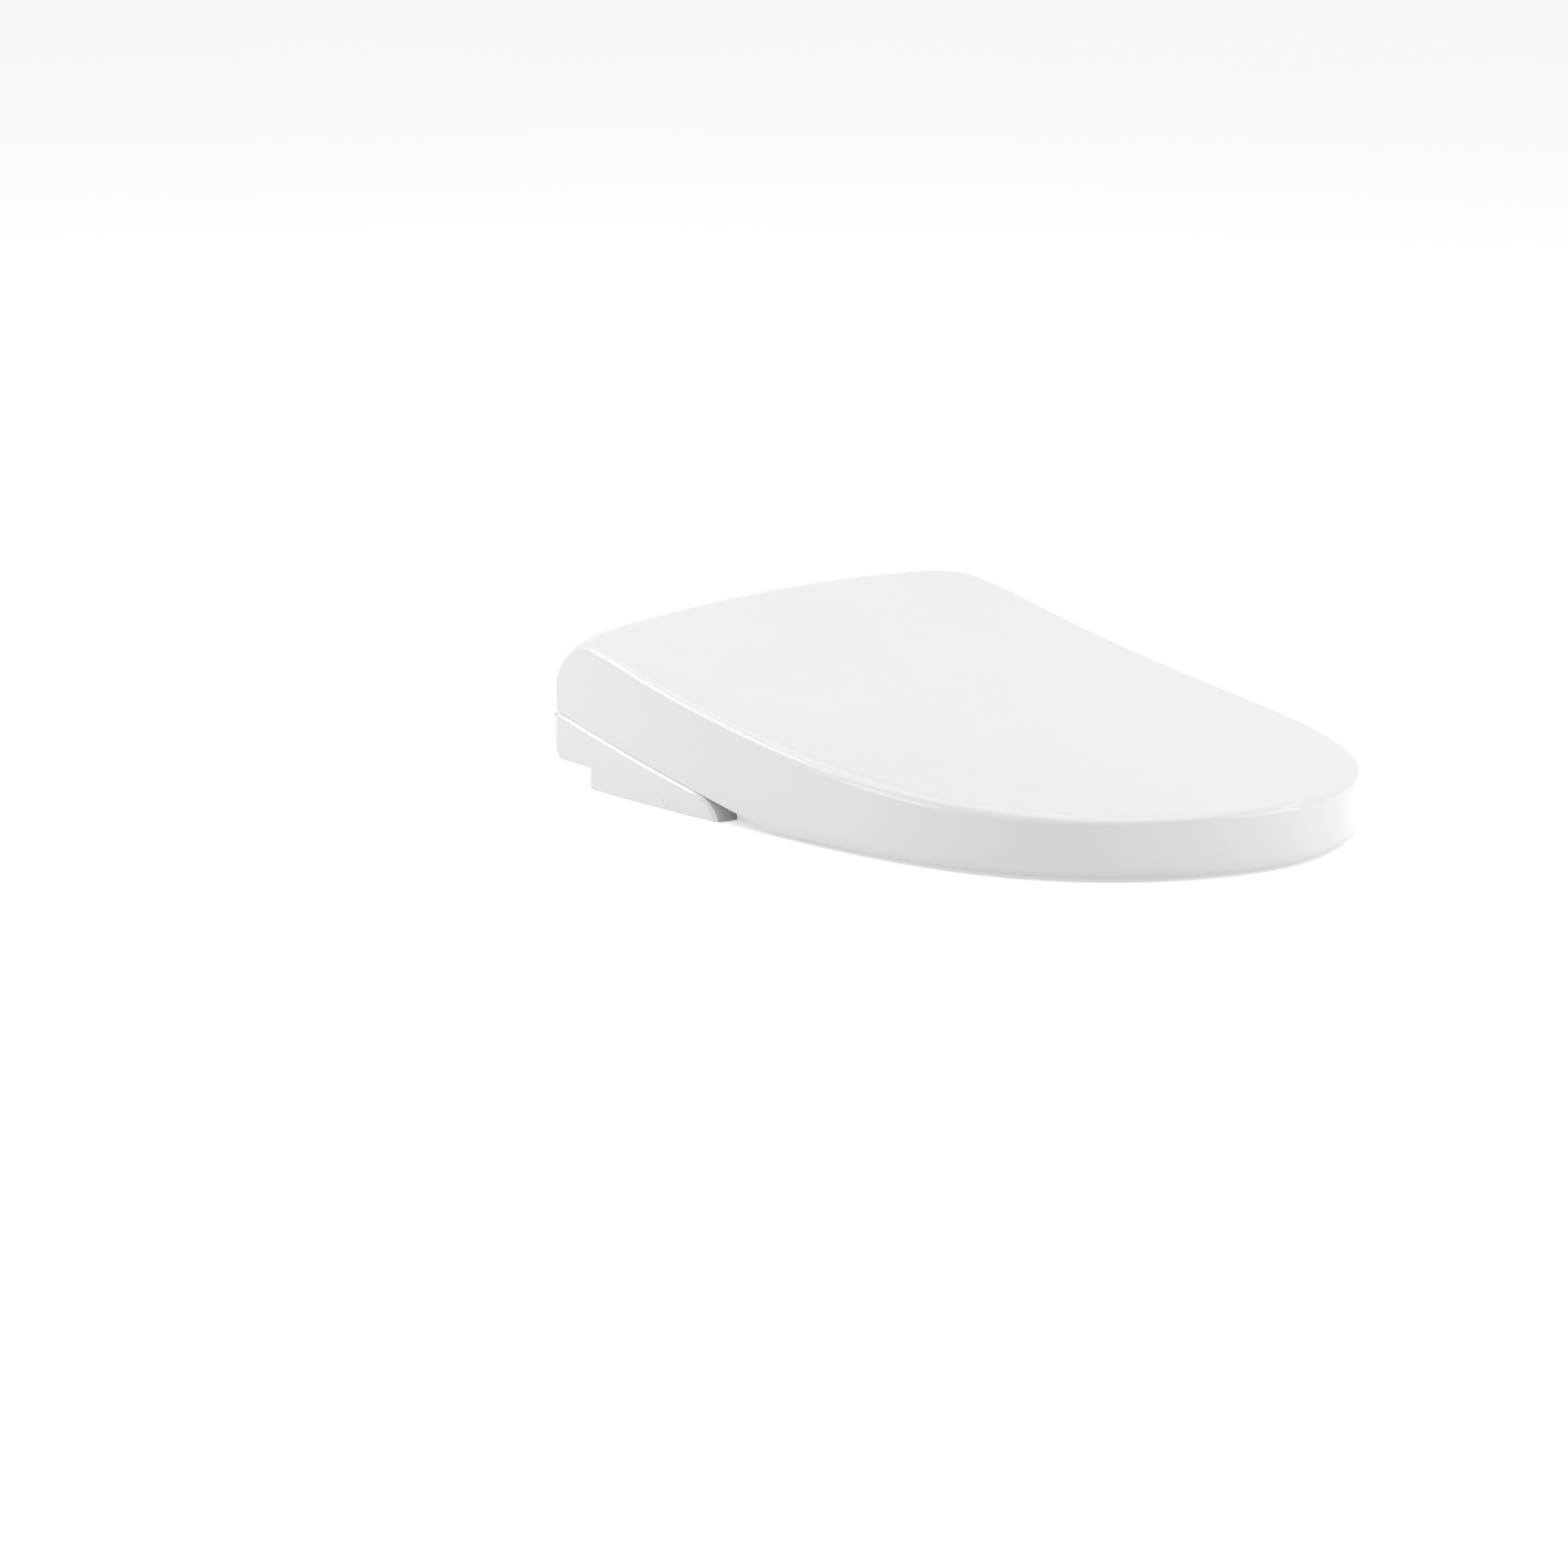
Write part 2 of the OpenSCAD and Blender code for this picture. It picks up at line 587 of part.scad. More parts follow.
arm_in = case_half_w + 0.2;
arm_t = 2.5;
arm_low_z = 0.4;
tip_y = -120.2;
seam_angle = atan(seam_slope);
arm_scoop_r = lobe_r + seam_gap;
arm_top_z = lid_axis_z - arm_scoop_r / cos(seam_angle) - seam_slope * lid_axis_y;
// The tip is rounded in side view, tightly along the bowl and widely along the outer face
tip_inner = [tip_y, 15];
tip_outer = [tip_y + 3.5, 33];
tip_turn_x = 180;
tip_end_y = -70;
function arm_z(y) = arm_top_z + seam_slope * y;
// An arc of radius t[1] that starts at t[0] and meets the arm's sloping top
function tip_arc(t, drop) =
    let (m = seam_slope, r = t[1], k = arm_z(t[0]) - arm_low_z - r / cos(seam_angle),
         d = (sqrt(m * m * k * k - (1 + m * m) * (k * k - r * r)) - m * k) / (1 + m * m),
         zc = arm_low_z + k + m * d)
    arc(t[0] + d, zc, r - drop, 180 - asin((arm_low_z - zc) / r), 90 + seam_angle, 8);
function tip_line(t, drop) = concat(
    [[tip_end_y, drop > 0 ? -1 : arm_low_z], [tip_arc(t, drop)[0][0], drop > 0 ? -1 : arm_low_z]],
    tip_arc(t, drop), [[tip_end_y, arm_z(tip_end_y) - drop / cos(seam_angle)]]);
function arm_line(drop) = concat(
    [[tip_end_y, arm_z(tip_end_y) - drop / cos(seam_angle)]],
    arc(lid_axis_y, lid_axis_z, arm_scoop_r + drop, 270 + seam_angle, 286, 3),
    [[rear_y - drop, 46 - drop], [rear_y - drop, 30], [rear_y - 1 - drop, 24], [rear_y - 4 - drop, 19],
     [rear_y - 8.5 - drop, step_z + drop], [step_y - drop, step_z + drop],
     [step_y - drop, drop > 0 ? -1 : arm_low_z], [tip_end_y, drop > 0 ? -1 : arm_low_z]]);
module arm_side(drop) {
    x0 = arm_in - (drop > 0 ? 1 : 0);
    side_prism(arm_line(drop), x0, lid_half_w + 1);
    hull() {
        side_prism(tip_line(tip_inner, drop), x0, tip_turn_x - drop);
        side_prism(tip_line(tip_outer, drop), lid_half_w - drop, lid_half_w + 1);
    }
}

// The lid's outline beside the unit, run past its rear edge
function under_lid(inset) = [for (p = half_outline(0)) if (p.y > -160)
    [p.x - inset, p.y + (p.y > rear_y - 1 ? 5 : 0)]];
module arm_plan(inset) {
    intersection() {
        polygon(concat([[0, rear_y + 5]], under_lid(inset), [[0, -160]]));
        polygon([[arm_in - inset, tip_y - 5], [lid_half_w + 0.5, tip_y - 5],
            [lid_half_w + 0.5, rear_y + 5], [arm_in - inset, rear_y + 5]]);
    }
}

module arm_solid() {
    difference() {
        intersection() {
            translate([0, 0, -1]) linear_extrude(60) arm_plan(0);
            arm_side(0);
        }
        intersection() {
            translate([0, 0, -2]) linear_extrude(60) arm_plan(arm_t);
            arm_side(arm_t);
        }
    }
}

plug_y = -66;
plug_z = 5;
plug_r = 3.2;
module arm_plugs() {
    color(gloss_white) both_sides()
        rod_x(half_w(plug_y) - arm_t, half_w(plug_y) - 0.1, plug_y, plug_z, plug_r);
}
module arm_right() { color(gloss_white) mirror([1, 0, 0]) plugged_arm(); }
module plugged_arm() {
    difference() {
        arm_solid();
        rod_x(arm_in + 5, lid_half_w + 1, plug_y, plug_z, plug_r);
    }
}
module arm_left() {
    color(gloss_white) difference() {
        plugged_arm();
        rod_x(arm_in - 1, lid_half_w + 1, latch_y, 13, 6.3);
        drawer_slot(0.3);
    }
}

// ---------------------------------------------------------------- buttons, lamps, screws

// Window of the remote control's receiver, on the slope of the deck
slope_angle = atan2(13, 34);
module on_slope(x, along) {
    translate([x, -30 + along * cos(slope_angle), 61 + along * sin(slope_angle)])
        rotate([slope_angle, 0, 0]) children();
}
module window_solid(grow) {
    on_slope(-70, 12) translate([-14 - grow, -6 - grow, -1.2]) cube([28 + 2 * grow, 12 + 2 * grow, 1.6]);
}
module receiver_window() { color(dark_grey) window_solid(0); }
module lamp(x, grow) { on_slope(x, 14) cylinder(r = 2 + grow, h = 7, center = true); }
module lamp_lenses() {
    color([0.75, 0.9, 0.8]) for (x = lamp_x) on_slope(x, 14) translate([0, 0, -3]) cylinder(r = 2, h = 3.3);
}

module push_button(x) {
    rod_z(deck_z - 2.5, deck_z + 1.8, x, button_y, button_r);
    rod_z(66.4, deck_z - 2.5, x, button_y, 2);
}
module power_button() { color(soft_grey) push_button(button_x[0]); }
module wash_button() { color(soft_grey) push_button(button_x[1]); }
module stop_button() { color(soft_grey) push_button(button_x[2]); }

module button_board() {
    color(board_green) {
        block([-171.5, 10, 61.5], [-124.5, 28, 63]);
        for (x = button_x) block([x - 3, button_y - 3, 63], [x + 3, button_y + 3, 65]);
        for (x = [-169.3, -126.7]) rod_z(63, deck_z - case_t, x, 19, 1.8);
    }
}

module release_button() {
    color(soft_grey) {
        rod_x(183, 190.4, latch_y, 13, 6);
        block([97.5, latch_y - 4, 10.5], [183, latch_y + 4, 14.5]);
        block([97.5, latch_y - 4, 3], [101, latch_y + 4, 10.5]);
    }
}

screw_spots = [[82, -56], [165, -24], [122, 6]];
module case_screws() {
    color(steel) both_sides() for (p = screw_spots) difference() {
        union() {
            rod_z(floor_z - 1.6, floor_z, p.x, p.y, 3.4);
            rod_z(floor_z, floor_z + 2.4, p.x, p.y, 1.5);
        }
        translate([p.x, p.y, floor_z - 2]) cylinder(r = 1.4, h = 1.2, $fn = 6);
    }
}

// ---------------------------------------------------------------- nozzle

// Drawn level, with the tip at y = 0 and the tail behind it
module nozzle_frame_pose() {
    translate([0, nozzle_y, nozzle_z]) rotate([nozzle_slope, 0, 0]) children();
}
tip_len = 9;
rack_half = 3;
rack_base_z = 5.2;
pitch_z = 8.6;
pinion_y = 33;
pitch_r = gear_m * pinion_n / 2;
pinion_z = pitch_z + pitch_r;
wand_len = pinion_y + nozzle_travel + 5;

module nozzle_wand() {
    color(gloss_white) nozzle_frame_pose() difference() {
        rod_y(tip_len, wand_len, 0, 0, wand_r);
        block([-rack_half - 0.05, 24, rack_base_z], [rack_half + 0.05, wand_len + 1, wand_r + 1]);
        rod_y(tip_len - 1, wand_len - 4, -2.2, -1, 1.4);
        rod_y(tip_len - 1, wand_len - 4, 2.2, -1, 1.4);
    }
}

module nozzle_tip() {
    color(matt_white) nozzle_frame_pose() difference() {
        rotate([-90, 0, 0]) rotate_extrude() polygon(concat([[0, 0]],
            [for (i = [0:6]) [wand_r - 3 + 3 * sin(i * 15), 3 - 3 * cos(i * 15)]],
            [[wand_r, tip_len], [0, tip_len]]));
        for (p = [[-1.6, 4.2], [1.6, 4.2], [0, 6.4]]) rod_z(2, wand_r + 1, p.x, p.y, 0.6);
    }
}

rack_pitch = PI * gear_m;
module nozzle_rack() {
    n = floor((wand_len - 26) / rack_pitch);
    teeth = [for (i = [0:n - 1]) let (y = pinion_y + (i - 2) * rack_pitch + rack_pitch / 2)
        each [[y - 1.3, pitch_z - 1.25], [y - 0.36, pitch_z + 1],
            [y + 0.36, pitch_z + 1], [y + 1.3, pitch_z - 1.25]]];
    used = [for (p = teeth) if (p.x > 25 && p.x < wand_len) p];
    color(soft_grey) nozzle_frame_pose()
        side_prism(concat([[25, rack_base_z]], [[25, pitch_z - 1.25]], used,
            [[wand_len, pitch_z - 1.25], [wand_len, rack_base_z]]), -rack_half, rack_half);
}

module nozzle_pinion() {
    step = 360 / pinion_n;
    root = pitch_r - 1.25;
    outline = [for (i = [0:pinion_n - 1]) let (a = -90 + i * step)
        each [for (t = [[-6.6, root], [-5.0, pitch_r - 0.1], [-2.3, pitch_r + 0.9], [2.3, pitch_r + 0.9],
            [5.0, pitch_r - 0.1], [6.6, root]]) [t[1] * cos(a + t[0]), t[1] * sin(a + t[0])]]];
    color(matt_white) nozzle_frame_pose() translate([0, pinion_y, pinion_z]) {
        rotate([90, 0, 90]) translate([0, 0, -rack_half]) linear_extrude(2 * rack_half) polygon(outline);
        rotate([0, 90, 0]) translate([0, 0, rack_half]) cylinder(r = 3.5, h = 4.5);
        rotate([0, 90, 0]) translate([0, 0, rack_half + 4.5]) cylinder(r = 2, h = 7);
    }
}

cheek_x = 8.2;
cheek_t = 2.3;
module nozzle_frame() {
    color(soft_grey) nozzle_frame_pose() difference() {
        union() {
            block([-cheek_x - cheek_t, 14, -10], [cheek_x + cheek_t, wand_len + 3, -7.4]);
            both_sides() block([cheek_x, 14, -7.4], [cheek_x + cheek_t, wand_len + 3, 4]);
            block([cheek_x, 20, 4], [cheek_x + cheek_t, 46, pinion_z + 9]);
            block([-cheek_x, wand_len + 0.6, -7.4], [cheek_x, wand_len + 3, 4]);
        }
        translate([0, pinion_y, pinion_z]) rotate([0, 90, 0]) cylinder(r = 2 + run_gap, h = 30);
    }
    // stands on the floor of the lower case
    color(soft_grey) both_sides() {
        nozzle_stand(-36, floor_z + floor_t);
        nozzle_stand(34, step_z + floor_t);
    }
}
module nozzle_stand(y, z) {
    side_prism([[y, z], [y + 6, z], [y + 6, frame_under_z(y + 6) + 1], [y, frame_under_z(y) + 1]], 7, 13);
}
function frame_under_z(y) = nozzle_z - 10 / cos(nozzle_slope) + (y - nozzle_y) * tan(nozzle_slope);

module nozzle_motor() {
    color(dark_grey) nozzle_frame_pose() translate([0, pinion_y, pinion_z]) rotate([0, 90, 0]) difference() {
        union() {
            translate([0, 0, cheek_x + cheek_t]) cylinder(r = 9, h = 16);
            translate([0, 0, cheek_x + cheek_t + 16]) cylinder(r = 5, h = 2);
        }
        translate([0, 0, cheek_x]) cylinder(r = 2 + run_gap, h = 7);
    }
}

// ---------------------------------------------------------------- water

module heat_exchanger() {
    color(matt_white) {
        block([36, -60, floor_z + floor_t], [86, -18, 36]);
        for (x = [46, 60, 74]) rod_z(36, 39, x, -39, 5);
        rod_x(86, 92, -30, 22, 4);
    }
}

module valve_unit() {
    color(soft_grey) {
        block([92, -44, 15], [114, 2, 33]);
        for (y = [-44, -3]) block([92, y, floor_z + floor_t], [114, y + 5, 15]);
        for (y = [-36, -21, -6]) rod_z(33, 39.5, 103, y, 6);
    }
}

module booster_pump() {
    color(dark_grey) {
        rod_x(40, 72, 24, 34, 12);
        rod_x(72, 86, 24, 34, 9);
    }
    color(matt_white) for (x = [44, 62]) block([x, 14, step_z + floor_t], [x + 6, 34, 24]);
}

// Half-inch parallel thread for the supply hose
inlet_r = 10.48;
module water_inlet() {
    color(brass) difference() {
        union() {
            rod_y(pocket_y, rear_y, inlet_x, inlet_z, inlet_r);
            rod_y(pocket_y - 6, pocket_y, inlet_x, inlet_z, 7);
        }
        rod_y(pocket_y, rear_y + 1, inlet_x, inlet_z, 6);
        rod_y(pocket_y - 7, pocket_y + 1, inlet_x, inlet_z, 2.8);
    }
}

module inlet_strainer() {
    color(steel) difference() {
        rod_y(pocket_y, rear_y - 6, inlet_x, inlet_z, 5.9);
        rod_y(pocket_y + 2, rear_y, inlet_x, inlet_z, 4.9);
        for (a = [0:45:315]) translate([inlet_x, 46, inlet_z]) rotate([0, a, 0]) translate([0, 0, 3])
            cylinder(r = 1.1, h = 4, $fn = 16);
    }
}

hose_r = 2.6;
hose_sides = 12;
hose_route = [[143.4, 35.6, 24.2], [140.5, 35.6, 23.3], [138.4, 34, 21.8], [138, 31, 20.7], [138, 16, 20.7],
    [138, 13, 20.6], [135, 4, 17], [130, 1, 16.5], [122, -1, 16.4], [114.2, -1, 16.4]];
function unit(v) = v / norm(v);
// A hose swept along its route, one ring at each point
module hose(route, r) {
    last = len(route) - 1;
    points = [for (i = [0:last])
        let (t = unit(route[min(last, i + 1)] - route[max(0, i - 1)]),
             a = unit(cross(t, [0.2, 0.3, 1])), b = cross(t, a))
            for (j = [0:hose_sides - 1]) let (c = j * 360 / hose_sides)
                route[i] + r * (a * cos(c) + b * sin(c))];
    ends = [[for (j = [0:hose_sides - 1]) j],
        [for (j = [hose_sides - 1:-1:0]) last * hose_sides + j]];
    polyhedron(points, concat(flipped(loft_faces(hose_sides, last + 1, false)), ends));
}
module inlet_hose() { color(soft_grey) hose(hose_route, hose_r); }

// ---------------------------------------------------------------- warm air

fan_x = -62;
fan_y = 14;
fan_r = 31;
duct_x0 = flap_x0;
duct_x1 = flap_x1;
duct_top = 25;
module dryer_housing() {
    color(soft_grey) difference() {
        union() {
            rod_z(step_z + floor_t, 38, fan_x, fan_y, fan_r);
            block([duct_x0, -19.7, floor_z + floor_t], [duct_x1, fan_y, duct_top]);
        }
        rod_z(step_z + floor_t + 2, 36, fan_x, fan_y, fan_r - 2);
        block([duct_x0 + 2, -21, floor_z + floor_t + 2], [duct_x1 - 2, fan_y, duct_top - 2]);
        rod_z(30, 40, fan_x, fan_y, 2.2);
        for (a = [20:40:340]) rod_z(35, 40, fan_x + 21 * cos(a), fan_y + 21 * sin(a), 3);
        block([-case_half_w, step_y - case_t - 0.2, 0], [0, rear_y, step_z + floor_t]);
    }
}

module blower_wheel(x, y, z0, z1, r, blades) {
    rod_z(z0, z0 + 1.5, x, y, r);
    rod_z(z0 + 1.5, z1, x, y, r * 0.3);
    for (i = [0:blades - 1]) translate([x, y, 0]) rotate([0, 0, i * 360 / blades])
        translate([r * 0.7, -0.5, z0 + 1.5]) cube([r * 0.29, 1, z1 - z0 - 1.5]);
}

module dryer_impeller() {
    color(dark_grey) {
        blower_wheel(fan_x, fan_y, 21, 33, 24, 24);
        rod_z(33, 44, fan_x, fan_y, 1.5);
    }
}

module dryer_motor() {
    color(dark_grey) difference() {
        rod_z(38, 54, fan_x, fan_y, 13);
        rod_z(37, 45, fan_x, fan_y, 1.5 + run_gap);
    }
}

module dryer_duct() {
    color(soft_grey) difference() {
        block([duct_x0, -fascia_y + 3.3, floor_z + floor_t], [duct_x1, -20, duct_top]);
        block([duct_x0 + 2, -fascia_y, floor_z + floor_t + 2], [duct_x1 - 2, 0, duct_top - 2]);
    }
}

module dryer_heater() {
    color([0.8, 0.75, 0.65]) {
        for (y = [-52, -36]) block([duct_x0 + 2, y, 12], [duct_x1 - 2, y + 1, duct_top - 2]);
        for (x = [-88, -83, -78, -73, -68]) block([x - 0.4, -51, 13], [x + 0.4, -36, 22]);
    }
}

flap_h = 12;
module dryer_flap() {
    color(gloss_white) {
        block([flap_x0 + 0.4, flap_axis_y - 0.8, flap_axis_z - flap_h],
            [flap_x1 - 0.4, flap_axis_y + 0.8, flap_axis_z]);
        rod_x(flap_x0 - 1.8, flap_x1 + 1.8, flap_axis_y, flap_axis_z, 1);
    }
}

// ---------------------------------------------------------------- deodoriser

deo_x = 113;
deo_y = 26;
module deodoriser_housing() {
    color(soft_grey) difference() {
        union() {
            rod_z(step_z + floor_t, 42, deo_x, deo_y, 16.5);
            block([deo_x, 12, 25], [132, 32, 36]);
        }
        rod_z(step_z + floor_t + 2, 40, deo_x, deo_y, 14.5);
        block([deo_x, 14, 27], [133, 30, 34]);
        rod_z(39, 43, deo_x, deo_y, 5);
    }
}

module deodoriser_impeller() {
    color(dark_grey) {
        blower_wheel(deo_x, deo_y, 23, 34, 12, 16);
        rod_z(34, 45, deo_x, deo_y, 1.5);
    }
}

drawer_y0 = 9;
drawer_y1 = 32;
drawer_z0 = 24;
drawer_z1 = 36;
module drawer_slot(grow) {
    block([150, drawer_y0 - grow, drawer_z0 - grow], [lid_half_w + 2, drawer_y1 + grow, drawer_z1 + grow]);
}
module filter_drawer() {
    color(matt_white) {
        difference() {
            block([134, drawer_y0, drawer_z0], [178, drawer_y1, drawer_z1]);
            block([136, drawer_y0 + 2, drawer_z0 + 2], [176, drawer_y1 - 2, drawer_z1 + 1]);
            block([133, drawer_y0 + 4, drawer_z0 + 3], [137, drawer_y1 - 4, drawer_z1 + 1]);
        }
        intersection() {
            block([178, drawer_y0, drawer_z0], [lid_half_w, drawer_y1, drawer_z1]);
            linear_extrude(60) arm_plan(0.4);
        }
    }
}

module filter_carbon() {
    color(dark_grey) block([136.3, drawer_y0 + 2.3, drawer_z0 + 2], [175.7, drawer_y1 - 2.3, drawer_z1 - 1]);
}

// ---------------------------------------------------------------- electrics

module control_board() {
    color(board_green) {
        block([36, -10, 53], [84, 34, 54.6]);
        for (p = [[42, 0], [62, 4], [48, 20], [70, 22]]) block([p.x, p.y, 54.6], [p.x + 10, p.y + 8, 57]);
        for (p = [[38, -8], [82, -8], [38, 29], [82, 29]])
            rod_z(54.6, p.y < 0 ? 66.1 : deck_z - case_t, p.x, p.y, 1.6);
    }
}

module power_board() {
    color(board_green) block([-168, 8, 19], [-100, 52, 20.6]);
    color(soft_grey) for (x = [-164, -104]) block([x - 3, 40, step_z + floor_t], [x + 3, 46, 19]);
    color(dark_grey) {
        block([-160, 14, 20.6], [-136, 34, 42]);
        for (x = [-128, -114]) rod_z(20.6, 40, x, 40, 5);
    }
}

// Grommet where the mains lead enters; the lead itself is not part of the model
module cord_gland() {
    color(dark_grey) difference() {
        union() {
            rod_y(case_rear_y - 2, rear_y, 112, 31, 6.9);
            rod_y(case_rear_y - 4, case_rear_y - 2, 112, 31, 9);
        }
        rod_y(case_rear_y - 5, rear_y + 1, 112, 31, 3.5);
    }
}

lid_shell();
lid_bumpers();
lid_shafts();
lid_damper();
hinge_pod_left();
hinge_pod_right();
seat_top();
seat_bottom();
seat_heater();
seat_bumpers();
seat_horn_left();
seat_horn_right();
seat_shafts();
seat_damper();
mounting_plate();
bolt_bushes();
base_pads();
lower_case();
upper_case();
front_fascia();
rear_cover();
arm_left();
arm_right();
arm_plugs();
receiver_window();
lamp_lenses();
case_screws();
power_button();
wash_button();
stop_button();
button_board();
release_button();
nozzle_frame();
nozzle_wand();
nozzle_tip();
nozzle_rack();
nozzle_pinion();
nozzle_motor();
heat_exchanger();
valve_unit();
booster_pump();
water_inlet();
inlet_strainer();
inlet_hose();
dryer_housing();
dryer_impeller();
dryer_motor();
dryer_duct();
dryer_heater();
dryer_flap();
deodoriser_housing();
deodoriser_impeller();
filter_drawer();
filter_carbon();
control_board();
power_board();
cord_gland();
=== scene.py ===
"""Electric bidet seat: its lid, heated seat and water and air unit, dressed over the solids."""

import json
import math

import bmesh
import bpy
from mathutils import Matrix, Vector


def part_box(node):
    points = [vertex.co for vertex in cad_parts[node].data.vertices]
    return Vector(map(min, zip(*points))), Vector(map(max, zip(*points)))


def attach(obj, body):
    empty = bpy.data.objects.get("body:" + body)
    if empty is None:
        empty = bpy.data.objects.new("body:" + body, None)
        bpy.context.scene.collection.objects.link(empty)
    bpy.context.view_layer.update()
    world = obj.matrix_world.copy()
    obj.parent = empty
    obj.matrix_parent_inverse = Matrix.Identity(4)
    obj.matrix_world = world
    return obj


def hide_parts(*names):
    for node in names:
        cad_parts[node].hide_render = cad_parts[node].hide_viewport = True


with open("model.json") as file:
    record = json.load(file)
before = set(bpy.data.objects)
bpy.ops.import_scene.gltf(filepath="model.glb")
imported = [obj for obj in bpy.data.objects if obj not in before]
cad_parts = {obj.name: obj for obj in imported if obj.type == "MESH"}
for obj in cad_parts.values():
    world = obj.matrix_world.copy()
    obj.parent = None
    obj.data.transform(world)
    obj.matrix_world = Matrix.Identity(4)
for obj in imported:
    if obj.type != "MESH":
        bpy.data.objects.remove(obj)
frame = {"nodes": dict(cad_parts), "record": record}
NODES = frame["nodes"]
BODIES = frame["record"]["behaviour"]["bodies"]
BODY_OF = {node: body for body, nodes in BODIES.items() for node in nodes}
SLOT_OF = {part["node"]: part["material_slot"] for part in frame["record"]["subparts"]}
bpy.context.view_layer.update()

# ---------------------------------------------------------------- materials

PATTERN_LOW, PATTERN_HIGH = 0.3, 0.7


def linear(colour):
    """An sRGB hex colour as the linear values that a shader reads."""
    parts = [int(colour[i : i + 2], 16) / 255 for i in (1, 3, 5)]
    return tuple(v / 12.92 if v <= 0.04045 else ((v + 0.055) / 1.055) ** 2.4 for v in parts) + (1.0,)


def add(tree, kind, inputs=None, **settings):
    """A node with its settings, and its inputs linked to a socket or set to a value."""
    made = tree.nodes.new(kind)
    for name, value in settings.items():
        setattr(made, name, value)
    for name, value in (inputs or {}).items():
        if isinstance(value, bpy.types.NodeSocket):
            tree.links.new(value, made.inputs[name])
        else:
            made.inputs[name].default_value = value
    return made


def per_mm(size):
    """The scale of a pattern whose features are size millimetres wide."""
    return 1000.0 / size


def surface(name, colour, **values):
    """A material with its shader, and the object's own coordinates to hang patterns on."""
    material = bpy.data.materials.new(name)
    material.use_nodes = True
    tree = material.node_tree
    shader = tree.nodes["Principled BSDF"]
    shader.inputs["Base Color"].default_value = linear(colour)
    for key, value in values.items():
        shader.inputs[key.replace("_", " ")].default_value = value
    material.diffuse_color = linear(colour)
    return material, tree, shader, add(tree, "ShaderNodeTexCoord").outputs["Object"]


def noise(tree, where, size, detail=2.0):
    """Noise with features of that many millimetres."""
    inputs = {"Vector": where, "Scale": per_mm(size), "Detail": detail, "Roughness": 0.5}
    return add(tree, "ShaderNodeTexNoise", inputs).outputs["Fac"]


def shades(tree, pattern, dark, light):
    """A colour that wanders between two shades."""
    inputs = {0: pattern, 6: linear(dark), 7: linear(light)}
    return add(tree, "ShaderNodeMix", inputs, data_type="RGBA").outputs[2]


def two_tone(tree, shader, pattern, dark, light):
    """The base colour wanders between two near shades."""
    tree.links.new(shades(tree, pattern, dark, light), shader.inputs["Base Color"])


def uneven_gloss(tree, shader, pattern, low, high):
    """The roughness wanders between two values, over the span where most of a pattern lies."""
    span = {"From Min": PATTERN_LOW, "From Max": PATTERN_HIGH, "To Min": low, "To Max": high}
    spread = add(tree, "ShaderNodeMapRange", {"Value": pattern, **span})
    tree.links.new(spread.outputs["Result"], shader.inputs["Roughness"])


def relief(tree, shader, pattern, depth, strength=1.0, under=None):
    """A bump of that depth in millimetres, on top of another one or alone."""
    inputs = {"Height": pattern, "Distance": depth / 1000.0, "Strength": strength}
    if under is not None:
        inputs["Normal"] = under
    bump = add(tree, "ShaderNodeBump", inputs)
    tree.links.new(bump.outputs["Normal"], shader.inputs["Normal"])
    return bump.outputs["Normal"]


def gloss_polypropylene():
    """Injection-moulded gloss polypropylene from a polished tool: near-mirror highlights, very faint
    waves and orange peel, and shades that differ by less than the eye can name."""
    material, tree, shader, where = surface("gloss_polypropylene", "#F1F1EF", Roughness=0.16, IOR=1.49)
    two_tone(tree, shader, noise(tree, where, 90.0), "#F0F0EE", "#F3F3F1")
    uneven_gloss(tree, shader, noise(tree, where, 38.0), 0.13, 0.19)
    # sink and flow waves some 60 mm long, and orange peel of 2.2 mm
    waves = relief(tree, shader, noise(tree, where, 60.0, 0.0), 0.05)
    relief(tree, shader, noise(tree, where, 2.2, 1.0), 0.0009, under=waves)
    return material


def satin_polypropylene():
    """The same resin from a spark-eroded tool: a fine even grain of about 0.3 mm, drawn at 0.6 mm so
    that it shows."""
    material, tree, shader, where = surface("satin_polypropylene", "#E4E4E1", Roughness=0.42, IOR=1.49)
    two_tone(tree, shader, noise(tree, where, 70.0), "#E1E1DE", "#E7E7E4")
    uneven_gloss(tree, shader, noise(tree, where, 30.0), 0.38, 0.48)
    relief(tree, shader, noise(tree, where, 0.6, 2.0), 0.012)
    return material


def grey_key_plastic():
    """Satin ABS keys: a soft highlight over a fine grain of 0.4 mm."""
    material, tree, shader, where = surface("grey_key_abs", "#A2A4A5", Roughness=0.34, IOR=1.54)
    two_tone(tree, shader, noise(tree, where, 12.0), "#9EA0A2", "#A8AAAB")
    relief(tree, shader, noise(tree, where, 0.4, 2.0), 0.006)
    return material


def moulded_rubber():
    """Soft elastomer buffers: dull, a little powdery, with a coarse grain of 0.8 mm."""
    material, tree, shader, where = surface("grey_elastomer", "#9C9EA0", Roughness=0.7, IOR=1.5)
    two_tone(tree, shader, noise(tree, where, 6.0, 4.0), "#939597", "#A6A8A9")
    uneven_gloss(tree, shader, noise(tree, where, 4.0), 0.62, 0.8)
    relief(tree, shader, noise(tree, where, 0.8, 3.0), 0.03)
    return material


